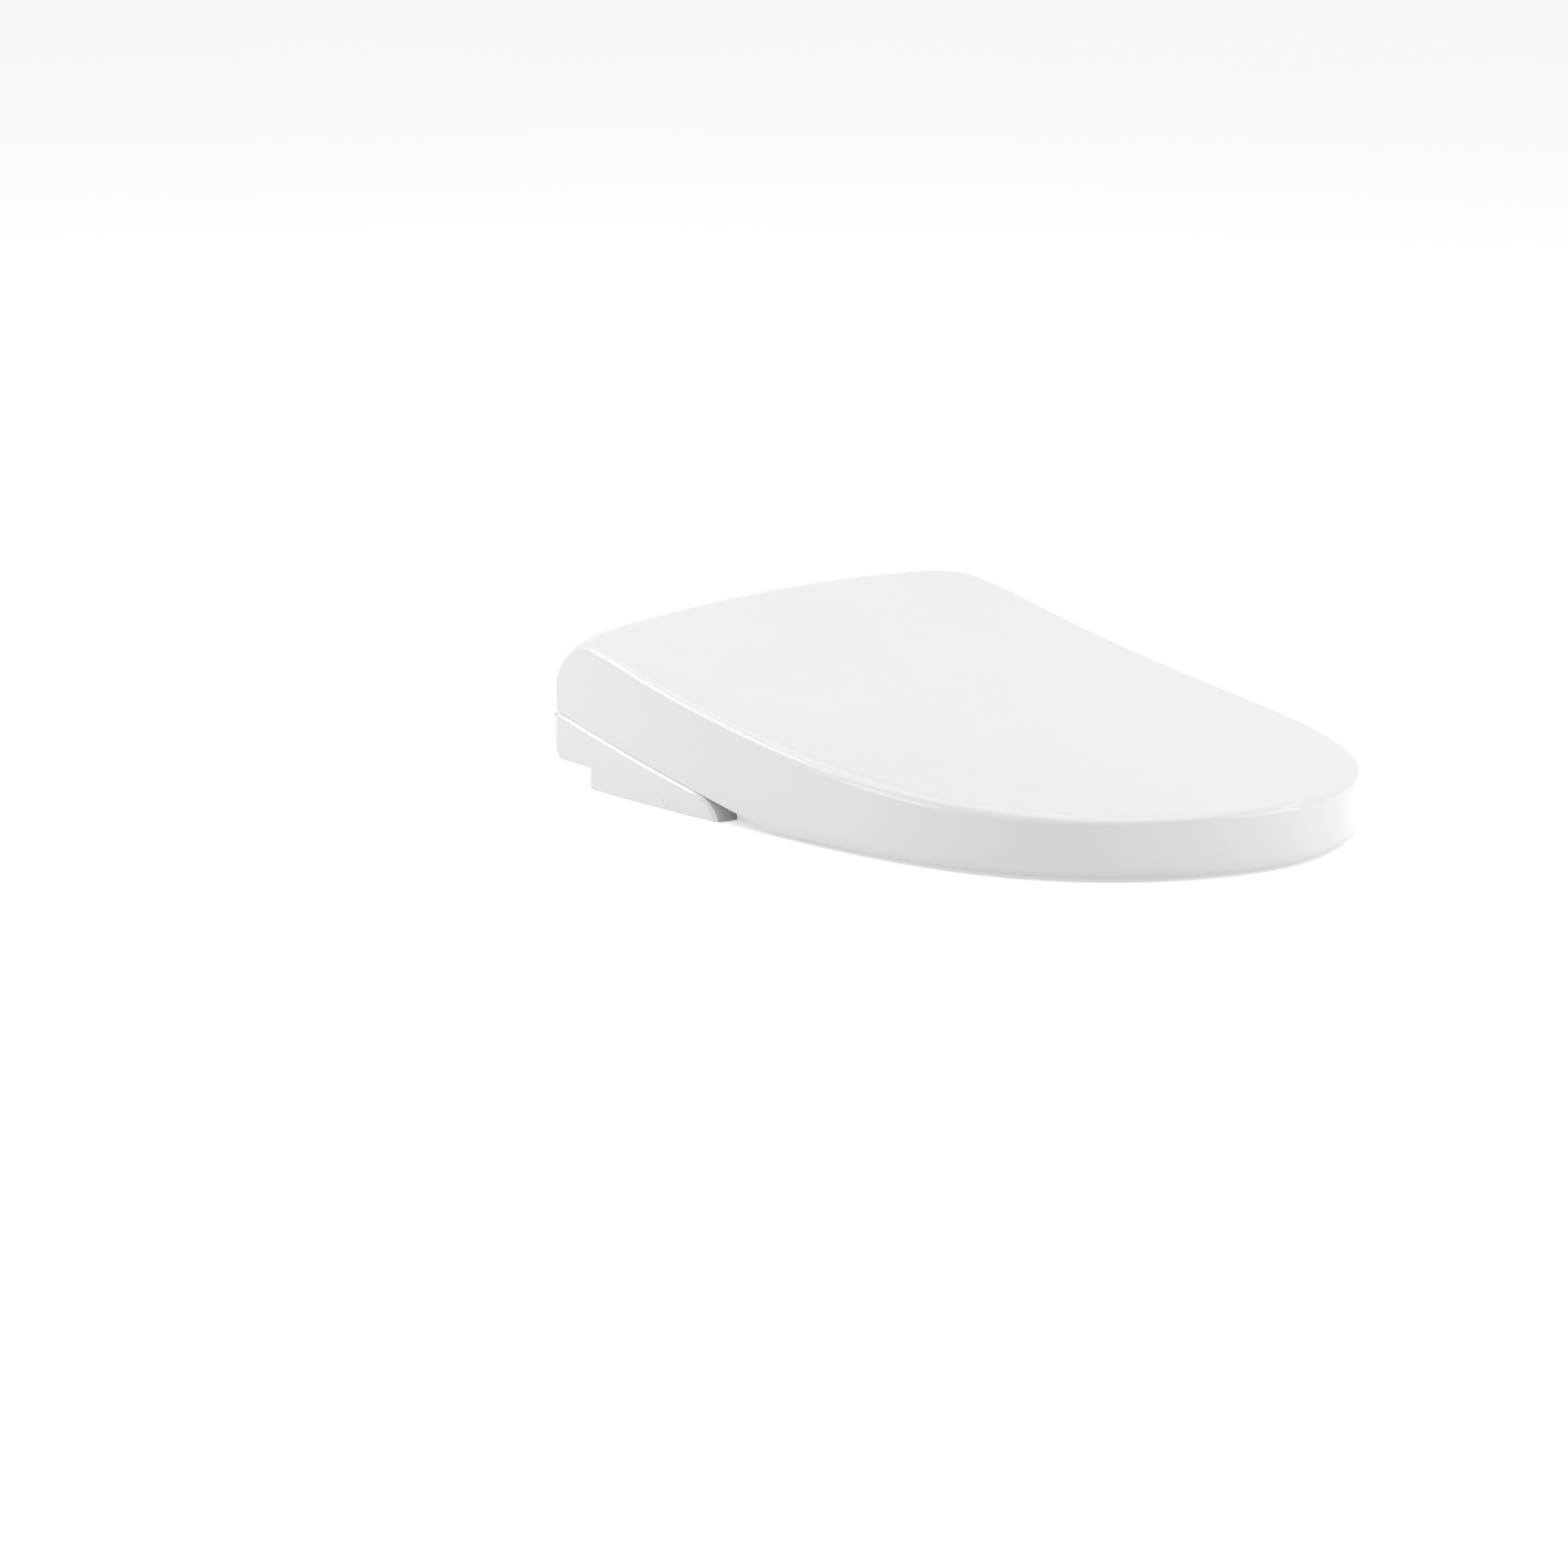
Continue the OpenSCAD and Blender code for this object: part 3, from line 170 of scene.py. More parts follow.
def inner_plastic(name, dark, light, rough):
    """Unpainted inner mouldings of filled plastic: matt, with flow marks of about 15 mm and a grain of
    0.5 mm."""
    material, tree, shader, where = surface(name, light, Roughness=rough, IOR=1.5)
    two_tone(tree, shader, noise(tree, where, 15.0, 4.0), dark, light)
    relief(tree, shader, noise(tree, where, 0.5, 2.0), 0.015)
    return material


def clear_window():
    """Smoked polycarbonate over the receiver: a black mirror with the faintest moulding waves."""
    material, tree, shader, where = surface("smoked_polycarbonate", "#17171A", Roughness=0.06, IOR=1.585)
    two_tone(tree, shader, noise(tree, where, 8.0), "#141417", "#1B1B1F")
    relief(tree, shader, noise(tree, where, 9.0, 0.0), 0.01)
    return material


def light_guide():
    """Pale acrylic light guides: clear resin with a milky core."""
    material, tree, shader, where = surface(
        "milky_acrylic", "#CBE3D6", Roughness=0.2, IOR=1.49, Subsurface_Weight=0.4, Subsurface_Scale=0.002
    )
    two_tone(tree, shader, noise(tree, where, 3.0), "#C6DFD1", "#D3E9DD")
    return material


def brushed_steel():
    """Ground stainless rod: fine rings round the axis, 0.15 mm apart and drawn at 0.4 mm."""
    material, tree, shader, where = surface("ground_stainless", "#C6C7C9", Metallic=1.0, Roughness=0.24)
    rings = add(tree, "ShaderNodeMapping", {"Vector": where, "Scale": (1.0, 0.05, 0.05)})
    lines = noise(tree, rings.outputs["Vector"], 0.4, 3.0)
    two_tone(tree, shader, lines, "#BDBEC1", "#CFD0D1")
    uneven_gloss(tree, shader, lines, 0.18, 0.32)
    relief(tree, shader, lines, 0.004)
    return material


def turned_brass():
    """Lathe-turned brass: tool rings along the axis, 0.25 mm apart and drawn at 0.5 mm, with slight
    tarnish."""
    material, tree, shader, where = surface("turned_brass", "#C9A461", Metallic=1.0, Roughness=0.26)
    rings = add(tree, "ShaderNodeMapping", {"Vector": where, "Scale": (0.04, 1.0, 0.04)})
    lines = noise(tree, rings.outputs["Vector"], 0.5, 2.0)
    two_tone(tree, shader, noise(tree, where, 5.0, 4.0), "#B8924E", "#D3B06F")
    uneven_gloss(tree, shader, lines, 0.2, 0.34)
    relief(tree, shader, lines, 0.006)
    return material


def circuit_board():
    """Glass-epoxy board under green lacquer: copper tracks 1.2 mm apart show as paler lines."""
    material, tree, shader, where = surface("lacquered_board", "#1F5A38", Roughness=0.3, IOR=1.55)
    inputs = {"Vector": where, "Scale": per_mm(5.0), "Mortar Size": 0.06, "Mortar Smooth": 0.1}
    tracks = add(tree, "ShaderNodeTexBrick", inputs)
    two_tone(tree, shader, tracks.outputs["Fac"], "#1B5233", "#3F7D4C")
    relief(tree, shader, tracks.outputs["Fac"], 0.03)
    return material


def heating_foil():
    """Laminated foil: the heating wire runs back and forth 9 mm apart under clear film."""
    material, tree, shader, where = surface("heating_foil", "#C9C7BF", Metallic=0.7, Roughness=0.32)
    inputs = {"Vector": where, "Scale": per_mm(9.0) / 6.0, "Distortion": 2.0, "Detail": 1.0}
    wire = add(tree, "ShaderNodeTexWave", inputs, bands_direction="DIAGONAL")
    two_tone(tree, shader, wire.outputs["Fac"], "#B5B2A8", "#D8D6CF")
    relief(tree, shader, wire.outputs["Fac"], 0.2)
    return material


def carbon_granules():
    """Activated carbon pressed from 1.5 mm grains: black, matt and pitted."""
    material, tree, shader, where = surface("activated_carbon", "#161616", Roughness=0.85)
    grains = add(tree, "ShaderNodeTexVoronoi", {"Vector": where, "Scale": per_mm(1.5)}).outputs["Distance"]
    two_tone(tree, shader, grains, "#0E0E0E", "#2A2A2B")
    relief(tree, shader, grains, 0.5)
    return material


def hose_rubber():
    """Extruded silicone hose: a waxy sheen and drawn-out flow lines of 2 mm."""
    material, tree, shader, where = surface("silicone_hose", "#8D8F91", Roughness=0.45, IOR=1.43)
    two_tone(tree, shader, noise(tree, where, 2.0, 3.0), "#86888A", "#97999B")
    relief(tree, shader, noise(tree, where, 1.0, 2.0), 0.02)
    return material


FINISH = {
    "shell_white": gloss_polypropylene(),
    "case_white": satin_polypropylene(),
    "nozzle_white": inner_plastic("nozzle_acetal", "#E9E9E6", "#F1F1EE", 0.24),
    "button_grey": grey_key_plastic(),
    "pad_grey": moulded_rubber(),
    "inner_grey": inner_plastic("inner_grey_abs", "#9A9C9E", "#A8AAAB", 0.5),
    "inner_dark": inner_plastic("inner_dark_pbt", "#38393B", "#424447", 0.55),
    "window_dark": clear_window(),
    "lens_white": light_guide(),
    "steel": brushed_steel(),
    "brass": turned_brass(),
    "heater_foil": heating_foil(),
    "board_green": circuit_board(),
    "carbon": carbon_granules(),
    "hose_grey": hose_rubber(),
}

# ---------------------------------------------------------------- making meshes

EDGE_ANGLE = math.radians(34)
FLAT_ANGLE = math.radians(0.6)
# How near points are made one, in metres: on a copied solid, a lofted skin and a turned solid
MERGE_SOLID, MERGE_SKIN, MERGE_TURNED = 0.00001, 0.000002, 0.000005


def in_metres(points):
    """Points in millimetres as Blender takes them."""
    return [tuple(c / 1000.0 for c in p) for p in points]


def finished(work, name):
    """The mesh of a bmesh, which is then freed."""
    mesh = bpy.data.meshes.new(name)
    work.to_mesh(mesh)
    work.free()
    return mesh


def link(name, data):
    """A new object in the scene, with a mesh, a lamp or a camera."""
    made = bpy.data.objects.new(name, data)
    bpy.context.scene.collection.objects.link(made)
    return made


def settle(made, *nodes, finish=None):
    """The piece gets its finish, rides on the body of its solids and stands for them."""
    slot = finish or SLOT_OF[nodes[0]]
    made.data.materials.clear()
    made.data.materials.append(FINISH[slot])
    for polygon in made.data.polygons:
        polygon.material_index = 0
    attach(made, BODY_OF[nodes[0]])
    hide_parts(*nodes)
    return made


def plain_mesh(made):
    """The piece with its modifiers taken into its mesh."""
    graph = bpy.context.evaluated_depsgraph_get()
    mesh = bpy.data.meshes.new_from_object(made.evaluated_get(graph))
    made.modifiers.clear()
    made.data = mesh
    return made


def crease(mesh, degrees):
    """Smooth faces, with the edges that turn more than that kept sharp."""
    work = bmesh.new()
    work.from_mesh(mesh)
    for face in work.faces:
        face.smooth = True
    for edge in work.edges:
        edge.smooth = len(edge.link_faces) == 2 and edge.calc_face_angle(0.0) < math.radians(degrees)
    work.to_mesh(mesh)
    work.free()


def merged_copy(node):
    """A piece with the solid of a node, its near points made one and its flat faces joined."""
    work = bmesh.new()
    work.from_mesh(NODES[node].data)
    bmesh.ops.remove_doubles(work, verts=work.verts, dist=MERGE_SOLID)
    bmesh.ops.dissolve_limit(
        work,
        angle_limit=FLAT_ANGLE,
        verts=work.verts,
        edges=work.edges,
        use_dissolve_boundaries=False,
    )
    return link("moulded_" + node, finished(work, "moulded_" + node))


def soften(made, width, segments=2):
    """The edges rounded to that many millimetres, as a mould or a tool leaves them."""
    for polygon in made.data.polygons:
        polygon.use_smooth = True
    bevel = made.modifiers.new("edges", "BEVEL")
    bevel.width = width / 1000.0
    bevel.segments = segments
    bevel.limit_method = "ANGLE"
    bevel.angle_limit = EDGE_ANGLE
    bevel.use_clamp_overlap = False
    bevel.harden_normals = True
    bevel.miter_outer = "MITER_ARC" if segments > 2 else "MITER_SHARP"
    return plain_mesh(made)


def strips(rings, closed):
    """The faces between neighbouring rings. Closed also joins the last ring to the first."""
    count = len(rings[0])
    faces = []
    for r in range(len(rings) if closed else len(rings) - 1):
        a, b = r * count, ((r + 1) % len(rings)) * count
        for i in range(count):
            j = (i + 1) % count
            faces.append((a + i, a + j, b + j, b + i))
    return faces


def skin(name, rings, faces, merge, clean=False):
    """A mesh over rings of points in millimetres, its near points made one, and if clean without the
    faces that this leaves with no area."""
    mesh = bpy.data.meshes.new(name)
    mesh.from_pydata(in_metres(p for ring in rings for p in ring), [], faces)
    work = bmesh.new()
    work.from_mesh(mesh)
    bmesh.ops.remove_doubles(work, verts=work.verts, dist=merge)
    if clean:
        bmesh.ops.dissolve_degenerate(work, edges=work.edges, dist=merge)
    bmesh.ops.recalc_face_normals(work, faces=work.faces)
    work.to_mesh(mesh)
    work.free()
    return mesh


def ring_mesh(name, rings, closed, capped):
    """A skin over rings of points in millimetres. Capped bridges both ends across the middle line."""
    count = len(rings[0])
    faces = strips(rings, closed)
    if capped:
        half = count // 2
        for first in (0, (len(rings) - 1) * count):
            for i in range(half):
                near, far = first + i, first + i + 1
                left_near, left_far = first + (count - i) % count, first + count - i - 1
                face = [near, far, left_far, left_near]
                face = [v for k, v in enumerate(face) if v not in face[:k]]
                faces.append(tuple(face))
    return skin(name, rings, faces, MERGE_SKIN)


def turned(name, outline, axis_x, axis_z, sides):
    """A solid turned round an axis along Y, from an outline of (y, radius) in millimetres that starts
    and ends on the axis or closes on itself."""
    rings = []
    for k in range(sides):
        a = 2 * math.pi * k / sides
        rings.append([(axis_x + r * math.cos(a), y, axis_z + r * math.sin(a)) for y, r in outline])
    return skin(name, rings, strips(rings, True), MERGE_TURNED, clean=True)


def bridged(name, loops):
    """A closed mesh between neighbouring loops of points in millimetres, with a face over each end."""
    work = bmesh.new()
    loops = [[work.verts.new(p) for p in in_metres(loop)] for loop in loops]
    count = len(loops[0])
    for a, b in zip(loops, loops[1:]):
        for i in range(count):
            j = (i + 1) % count
            work.faces.new((a[i], a[j], b[j], b[i]))
    work.faces.new(loops[0])
    work.faces.new(loops[-1])
    bmesh.ops.recalc_face_normals(work, faces=work.faces)
    return finished(work, name)


# ---------------------------------------------------------------- the lid

# The sizes of the moulded lid, in millimetres, as the solids have them
LID_HALF_W, REAR_HALF_W = 191.5, 183.5
REAR_Y, NOSE_Y, WIDE_Y = 59.0, 466.0, 85.0
NOSE_P, NOSE_Q = 3.9, 1.76
REAR_CORNER_R = 6.0
RIDGE_REAR_Z, RIDGE_FALL, RIDGE_LIFT = 113.5, 147.0, 77.0
CROWN_H = 10.5
ROLL_Y, ROLL_E = 17.0, 0.56
DIP_H, DIP_LEN, DIP_W, DIP_SOFT = 11.5, 80.0, 38.0, 1.9
EDGE_W, EDGE_H, EDGE_END = 12.0, 9.0, 4.5
NOSE_LEAN = 3.0
LID_T = 3.0
SKIRT_Z = 3.3
LOBE_R, LID_AXIS_Z = 8.5, 56.0
SEAM_SLOPE = 0.2027
NOSE_LEN = NOSE_Y - WIDE_Y
LID_LEN = REAR_Y + NOSE_Y
LID_AXIS_Y = REAR_Y - LOBE_R
ROLL_FOOT_Z = LID_AXIS_Z + 1
N_REAR, N_CORNER, N_SIDE, N_FRONT = 14, 8, 44, 72
LIP_R = 0.8
POD_IN, BOSS_IN, BOSS_OUT = 119.0, 173.2, 179.6
BORE_R, BORE_OUT = 3.0, 178
# How the crown fades to the nose, how the side's points crowd to the rear, and how much of the soft
# edge's drop is left at the rear
CROWN_FADE, SIDE_CROWD, REAR_DROP = 2.5, 1.5, 0.8
# The innermost full ring's distance from the edge, and the ends of the line that the roof closes on
INNER_D, MIDDLE_REAR_Y, MIDDLE_NOSE_Y = 46.0, -60.0, -380.0


def lerp(a, b, k):
    return a + (b - a) * k


def half_width(y, d=0.0):
    """Half of the lid's width at y, d inside its outline."""
    if y > -WIDE_Y:
        return LID_HALF_W - d - (LID_HALF_W - REAR_HALF_W) * ((y + WIDE_Y) / (REAR_Y + WIDE_Y)) ** 2
    along = min(1.0, (-WIDE_Y - y) / (NOSE_LEN - d))
    return (LID_HALF_W - d) * (1 - along**NOSE_P) ** (1 / NOSE_Q)


def half_outline(d, lean=0.0):
    """Half of the lid's outline from the middle of the rear round to the nose, d inside its edge."""
    r = max(REAR_CORNER_R - d, 1.0)
    y0 = REAR_Y - d - r
    w0 = half_width(y0, d)
    points = [((w0 - r) * i / N_REAR, REAR_Y - d) for i in range(N_REAR)]
    for i in range(N_CORNER + 1):
        a = math.radians(90 - 90 * i / N_CORNER)
        points.append((w0 - r + r * math.cos(a), y0 + r * math.sin(a)))
    for i in range(1, N_SIDE + 1):
        y = lerp(y0, -WIDE_Y, (i / N_SIDE) ** SIDE_CROWD)
        points.append((half_width(y, d), y))
    for i in range(1, N_FRONT + 1):
        s = math.sin(math.radians(90 * i / N_FRONT))
        x = (LID_HALF_W - d) * max(0.0, 1 - s**NOSE_P) ** (1 / NOSE_Q)
        points.append((x, -WIDE_Y - (NOSE_LEN - d + lean) * s))
    points[-1] = (0.0, points[-1][1])
    return points


def roof_z(x, y, t):
    """The roof without its soft edge, t below the outer face."""
    s = (REAR_Y - y) / LID_LEN
    ridge = RIDGE_REAR_Z - RIDGE_FALL * s + RIDGE_LIFT * s * s
    across = 1 - min(1.0, abs(x) / max(half_width(y), 1.0)) ** 2
    along = 1 - min(1.0, max(0.0, (-WIDE_Y - y) / NOSE_LEN)) ** CROWN_FADE
    du = max(0.0, min(1.0, (y - REAR_Y + DIP_LEN) / DIP_LEN))
    dv = max(0.0, min(1.0, (abs(x) - half_width(y) + DIP_W) / DIP_W))
    full = ridge + CROWN_H * across * along - DIP_H * (du * dv) ** DIP_SOFT - t
    u = min(1.0, max(0.0, (y - ROLL_Y) / (REAR_Y - t - ROLL_Y)))
    return ROLL_FOOT_Z + (full - ROLL_FOOT_Z) * max(0.0, 1 - u * u) ** ROLL_E


def lid_z(x, y, e, t):
    """The roof with its soft edge, e in from the side and t below the outer face."""
    swell = math.sin(math.pi * max(0.0, min(1.0, (REAR_Y - y) / LID_LEN)))
    w, h = lerp(EDGE_END, EDGE_W, swell) - t, lerp(EDGE_END, EDGE_H, swell) - t
    inside = max(0.0, e - t)
    drop = 0.0 if inside >= w else h * (1 - math.sqrt(max(0.0, 1 - (1 - inside / w) ** 2)))
    if y > ROLL_Y:
        drop *= lerp(1, REAR_DROP, (y - ROLL_Y) / (REAR_Y - ROLL_Y))
    return roof_z(x, y, t) - drop


def lid_low_z(y):
    """The lid's lower edge: level in front, then the straight seam, then round the hinge."""
    if y > LID_AXIS_Y:
        return LID_AXIS_Z - math.sqrt(max(0.0, LOBE_R**2 - (y - LID_AXIS_Y) ** 2))
    return max(SKIRT_Z, LID_AXIS_Z - LOBE_R - SEAM_SLOPE * (LID_AXIS_Y - y))


def mirrored(half):
    return half + [(-x, y, z) for x, y, z in half[-2:0:-1]]


def roof_ring(d, t):
    half = []
    for i, (x, y) in enumerate(half_outline(d, NOSE_LEAN)):
        e = half_width(y) - x if i <= N_REAR + N_CORNER else d
        half.append((x, y, lid_z(x, y, e, t)))
    return half


def inner_ring(t, k):
    """A ring drawn in towards the middle line of the roof."""
    half = []
    for x, y in half_outline(INNER_D, NOSE_LEAN):
        px, py = x * (1 - k), lerp(y, min(MIDDLE_REAR_Y, max(MIDDLE_NOSE_Y, y)), k)
        half.append((px, py, roof_z(px, py, t)))
    return half


def lip_ring(d, up):
    return [(x, y, lid_low_z(y) + up) for x, y in half_outline(d)]


def between(a, b, k):
    return [tuple(lerp(p[i], q[i], k) for i in range(3)) for p, q in zip(a, b)]


def lid_rings():
    """From the middle of the liner out to the wall, round the lip, up the outside and back over the roof."""
    halves = [inner_ring(LID_T, k) for k in (0.94, 0.8, 0.6, 0.4, 0.2)]
    halves += [roof_ring(d + LID_T, LID_T) for d in (43, 32, 24, 18, 13, 9, 7, 5, 3.4, 2.1, 1.2, 0.5, 0.1, 0)]
    inner_top, inner_foot = halves[-1], lip_ring(LID_T, LIP_R)
    halves += [between(inner_top, inner_foot, k) for k in (0.3, 0.65)] + [inner_foot]
    s = LIP_R * (1 - math.sqrt(0.5))
    halves += [lip_ring(LID_T - s, s), lip_ring(LID_T - LIP_R, 0), lip_ring(LIP_R, 0), lip_ring(s, s)]
    foot, top = lip_ring(0, LIP_R), roof_ring(0, 0)
    halves += [foot] + [between(foot, top, k) for k in (0.12, 0.35, 0.65, 0.88)] + [top]
    edge_steps = (0.04, 0.15, 0.35, 0.7, 1.2, 1.9, 2.8, 4, 5.4, 7, 8.6, 10.3, 12)
    roof_steps = (14, 17, 21, 25, 29, 31, 34, 38, 46)
    halves += [roof_ring(d, 0) for d in edge_steps + roof_steps]
    halves += [inner_ring(0, k) for k in (0.12, 0.25, 0.4, 0.55, 0.7, 0.84, 0.94)]
    return [mirrored(half) for half in halves]


def rounded_block(name, low, high, r):
    """A block with rounded edges, in millimetres."""
    work = bmesh.new()
    bmesh.ops.create_cube(work, size=1.0)
    for v in work.verts:
        v.co = Vector([lerp(low[i], high[i], v.co[i] + 0.5) / 1000.0 for i in range(3)])
    bmesh.ops.bevel(
        work,
        geom=work.edges,
        offset=r / 1000.0,
        segments=4,
        profile=0.5,
        affect="EDGES",
        clamp_overlap=True,
    )
    bmesh.ops.recalc_face_normals(work, faces=work.faces)
    return finished(work, name)


def rod_mesh(name, x0, x1, y, z, r, sides=64, chamfer=0.0):
    """A rod along X, in millimetres."""
    outline = [(x0, 0), (x0, r - chamfer), (x0 + chamfer, r), (x1 - chamfer, r), (x1, r - chamfer), (x1, 0)]
    mesh = turned(name, outline, 0.0, 0.0, sides)
    mesh.transform(Matrix(((0, 1, 0, 0), (1, 0, 0, y / 1000.0), (0, 0, 1, z / 1000.0), (0, 0, 0, 1))))
    mesh.flip_normals()
    return mesh


def cut(made, mesh, operation):
    """The piece joined to, or cut by, another mesh."""
    tool = link("tool", mesh)
    change = made.modifiers.new("cut", "BOOLEAN")
    change.operation = operation
    change.solver = "EXACT"
    change.object = tool
    plain_mesh(made)
    bpy.data.objects.remove(tool)
    return made


def build_lid():
    """The shell, notched for each hinge pod, with a bored boss outside the notch for the lid's shaft."""
    made = link("lid_moulding", ring_mesh("lid_moulding", lid_rings(), False, True))
    axis = (LID_AXIS_Y, LID_AXIS_Z)
    for side in (1, -1):
        low, high = (POD_IN - 0.7, LID_AXIS_Y - 14, 40), (BOSS_IN - 0.5, REAR_Y + 2, LID_AXIS_Z + 12)
        xs = sorted((side * low[0], side * high[0]))
        cut(made, rounded_block("notch", (xs[0], *low[1:]), (xs[1], *high[1:]), 1.2), "DIFFERENCE")
        xs = sorted((side * BOSS_IN, side * BOSS_OUT))
        cut(made, rod_mesh("boss", *xs, *axis, LOBE_R - 0.3, chamfer=0.4), "UNION")
        xs = sorted((side * (BOSS_IN - 1), side * BORE_OUT))
        cut(made, rod_mesh("bore", *xs, *axis, BORE_R, 32), "DIFFERENCE")
    crease(made.data, 36)
    return settle(made, "lid_shell")


# ---------------------------------------------------------------- the seat

SEAT_INSET, SEAT_REAR_Y = 7.0, 72.0
HOLE_LEN, HOLE_W, HOLE_MID_Y, HOLE_E = 137.0, 106.0, 243.0, 2.3
JOINT_NOSE_Z, JOINT_REAR_Z = 17.0, 32.0
SEAT_UP = 13.0
SEAT_WIDE_Y, SEAT_REAR_HALF_W, SEAT_CORNER_R = -200.0, 160.0, 12.0
SEAT_N_REAR, SEAT_N_CORNER, SEAT_N_SIDE, SEAT_N_FRONT = 16, 8, 24, 60
# Cross-sections of the two shells: the way from the outer edge to the opening as 0 to 1, and the height,
# on the upper shell as a share of SEAT_UP and on the lower one in millimetres
TOP_OUTSIDE = [
    (0, 0), (0, 0.42), (0.02, 0.68), (0.07, 0.88), (0.16, 0.98), (0.3, 1),
    (0.46, 0.97), (0.62, 0.86), (0.78, 0.68), (0.91, 0.45), (0.98, 0.22), (1, 0),
]
TOP_INSIDE = [
    (0.965, 0), (0.94, 0.18), (0.86, 0.36), (0.74, 0.52), (0.6, 0.66), (0.46, 0.76),
    (0.3, 0.8), (0.17, 0.78), (0.09, 0.67), (0.045, 0.4), (0.035, 0),
]
LOW_OUTSIDE = [
    (1, -0.3), (0.985, -3), (0.94, -5.5), (0.86, -7.5), (0.75, -9),
    (0.2, -9), (0.06, -7.8), (0.01, -5), (0, -0.3),
]
LOW_INSIDE = [
    (0.035, -0.3), (0.05, -4.2), (0.12, -6), (0.22, -6.6),
    (0.74, -6.6), (0.85, -5.2), (0.94, -2.6), (0.965, -0.3),
]


def seat_joint_z(y):
    """The height where the seat's two shells meet."""
    along = (y + NOSE_Y - SEAT_INSET) / (NOSE_Y - SEAT_INSET - SEAT_REAR_Y)
    return lerp(JOINT_NOSE_Z, JOINT_REAR_Z, along)


def seat_half_width(y):
    wide = half_width(SEAT_WIDE_Y, SEAT_INSET)
    return lerp(wide, SEAT_REAR_HALF_W, ((y - SEAT_WIDE_Y) / (-SEAT_REAR_Y - SEAT_WIDE_Y)) ** 2)


def seat_outline():
    r = SEAT_CORNER_R
    y0 = -SEAT_REAR_Y - r
    w0 = seat_half_width(y0)
    a0 = math.degrees(math.asin((-WIDE_Y - SEAT_WIDE_Y) / (NOSE_LEN - SEAT_INSET)))
    points = [((w0 - r) * i / SEAT_N_REAR, -SEAT_REAR_Y) for i in range(SEAT_N_REAR)]
    for i in range(SEAT_N_CORNER + 1):
        a = math.radians(90 - 90 * i / SEAT_N_CORNER)
        points.append((w0 - r + r * math.cos(a), y0 + r * math.sin(a)))
    for i in range(1, SEAT_N_SIDE + 1):
        y = lerp(y0, SEAT_WIDE_Y, i / SEAT_N_SIDE)
        points.append((seat_half_width(y), y))
    for i in range(1, SEAT_N_FRONT + 1):
        s = math.sin(math.radians(lerp(a0, 90, i / SEAT_N_FRONT)))
        x = (LID_HALF_W - SEAT_INSET) * max(0.0, 1 - s**NOSE_P) ** (1 / NOSE_Q)
        points.append((x, -WIDE_Y - (NOSE_LEN - SEAT_INSET) * s))
    points[-1] = (0.0, points[-1][1])
    return points


def hole_point(x, y):
    """The point of the opening on the same ray as an outer point."""
    a = math.atan2(y + HOLE_MID_Y, x)
    r = (abs(math.cos(a) / HOLE_W) ** HOLE_E + abs(math.sin(a) / HOLE_LEN) ** HOLE_E) ** (-1 / HOLE_E)
    return r * math.cos(a), r * math.sin(a) - HOLE_MID_Y


def eased(before, a, b, after, t):
    """A Catmull-Rom spline's value at t of the way from a to b."""
    square = (2 * before - 5 * a + 4 * b - after) * t * t
    cube = (3 * a - before - 3 * b + after) * t**3
    return 0.5 * (2 * a + (b - before) * t + square + cube)


def rounded_line(points, steps=4):
    """A smooth line through the points of a cross-section."""
    last = len(points) - 1
    out = []
    for i in range(last):
        near = [points[max(0, i - 1)], points[i], points[i + 1], points[min(last, i + 2)]]
        for s in range(steps):
            out.append(tuple(eased(*(p[c] for p in near), s / steps) for c in range(2)))
    return out + [points[-1]]


def build_seat_half(node, outside, inside, lift, name):
    section = [(k, h * lift) for k, h in rounded_line(outside) + rounded_line(inside, 3)]
    outer = seat_outline()
    rings = []
    for k, h in section:
        half = []
        for x, y in outer:
            qx, qy = hole_point(x, y)
            px, py = lerp(x, qx, k), lerp(y, qy, k)
            half.append((px, py, seat_joint_z(py) + h))
        half[0] = (0.0, half[0][1], half[0][2])
        half[-1] = (0.0, half[-1][1], half[-1][2])
        rings.append(mirrored(half))
    made = link(name, ring_mesh(name, rings, True, False))
    crease(made.data, 40)
    return settle(made, node)


# ---------------------------------------------------------------- repeats


def geometry_tree(name, sizes):
    """A tree with one named input for each size, and the nodes of its two ends."""
    tree = bpy.data.node_groups.new(name, "GeometryNodeTree")
    tree.interface.new_socket("Geometry", in_out="INPUT", socket_type="NodeSocketGeometry")
    tree.interface.new_socket("Geometry", in_out="OUTPUT", socket_type="NodeSocketGeometry")
    for label, kind in sizes:
        tree.interface.new_socket(label, in_out="INPUT", socket_type=kind)
    return tree, add(tree, "NodeGroupInput").outputs


def close_tree(tree, geometry, finish):
    """Realized, given its finish and sent out."""
    real = add(tree, "GeometryNodeRealizeInstances", {"Geometry": geometry})
    inputs = {"Geometry": real.outputs["Geometry"], "Material": finish}
    dressed = add(tree, "GeometryNodeSetMaterial", inputs)
    add(tree, "NodeGroupOutput", {"Geometry": dressed.outputs["Geometry"]})
    return tree


def run_tree(name, base, tree, values):
    """The tree run on a base mesh, as a plain mesh."""
    made = link(name, base)
    change = made.modifiers.new("rule", "NODES")
    change.node_group = tree
    for item in tree.interface.items_tree:
        if item.in_out == "INPUT" and item.name in values:
            change[item.identifier] = values[item.name]
    return plain_mesh(made)


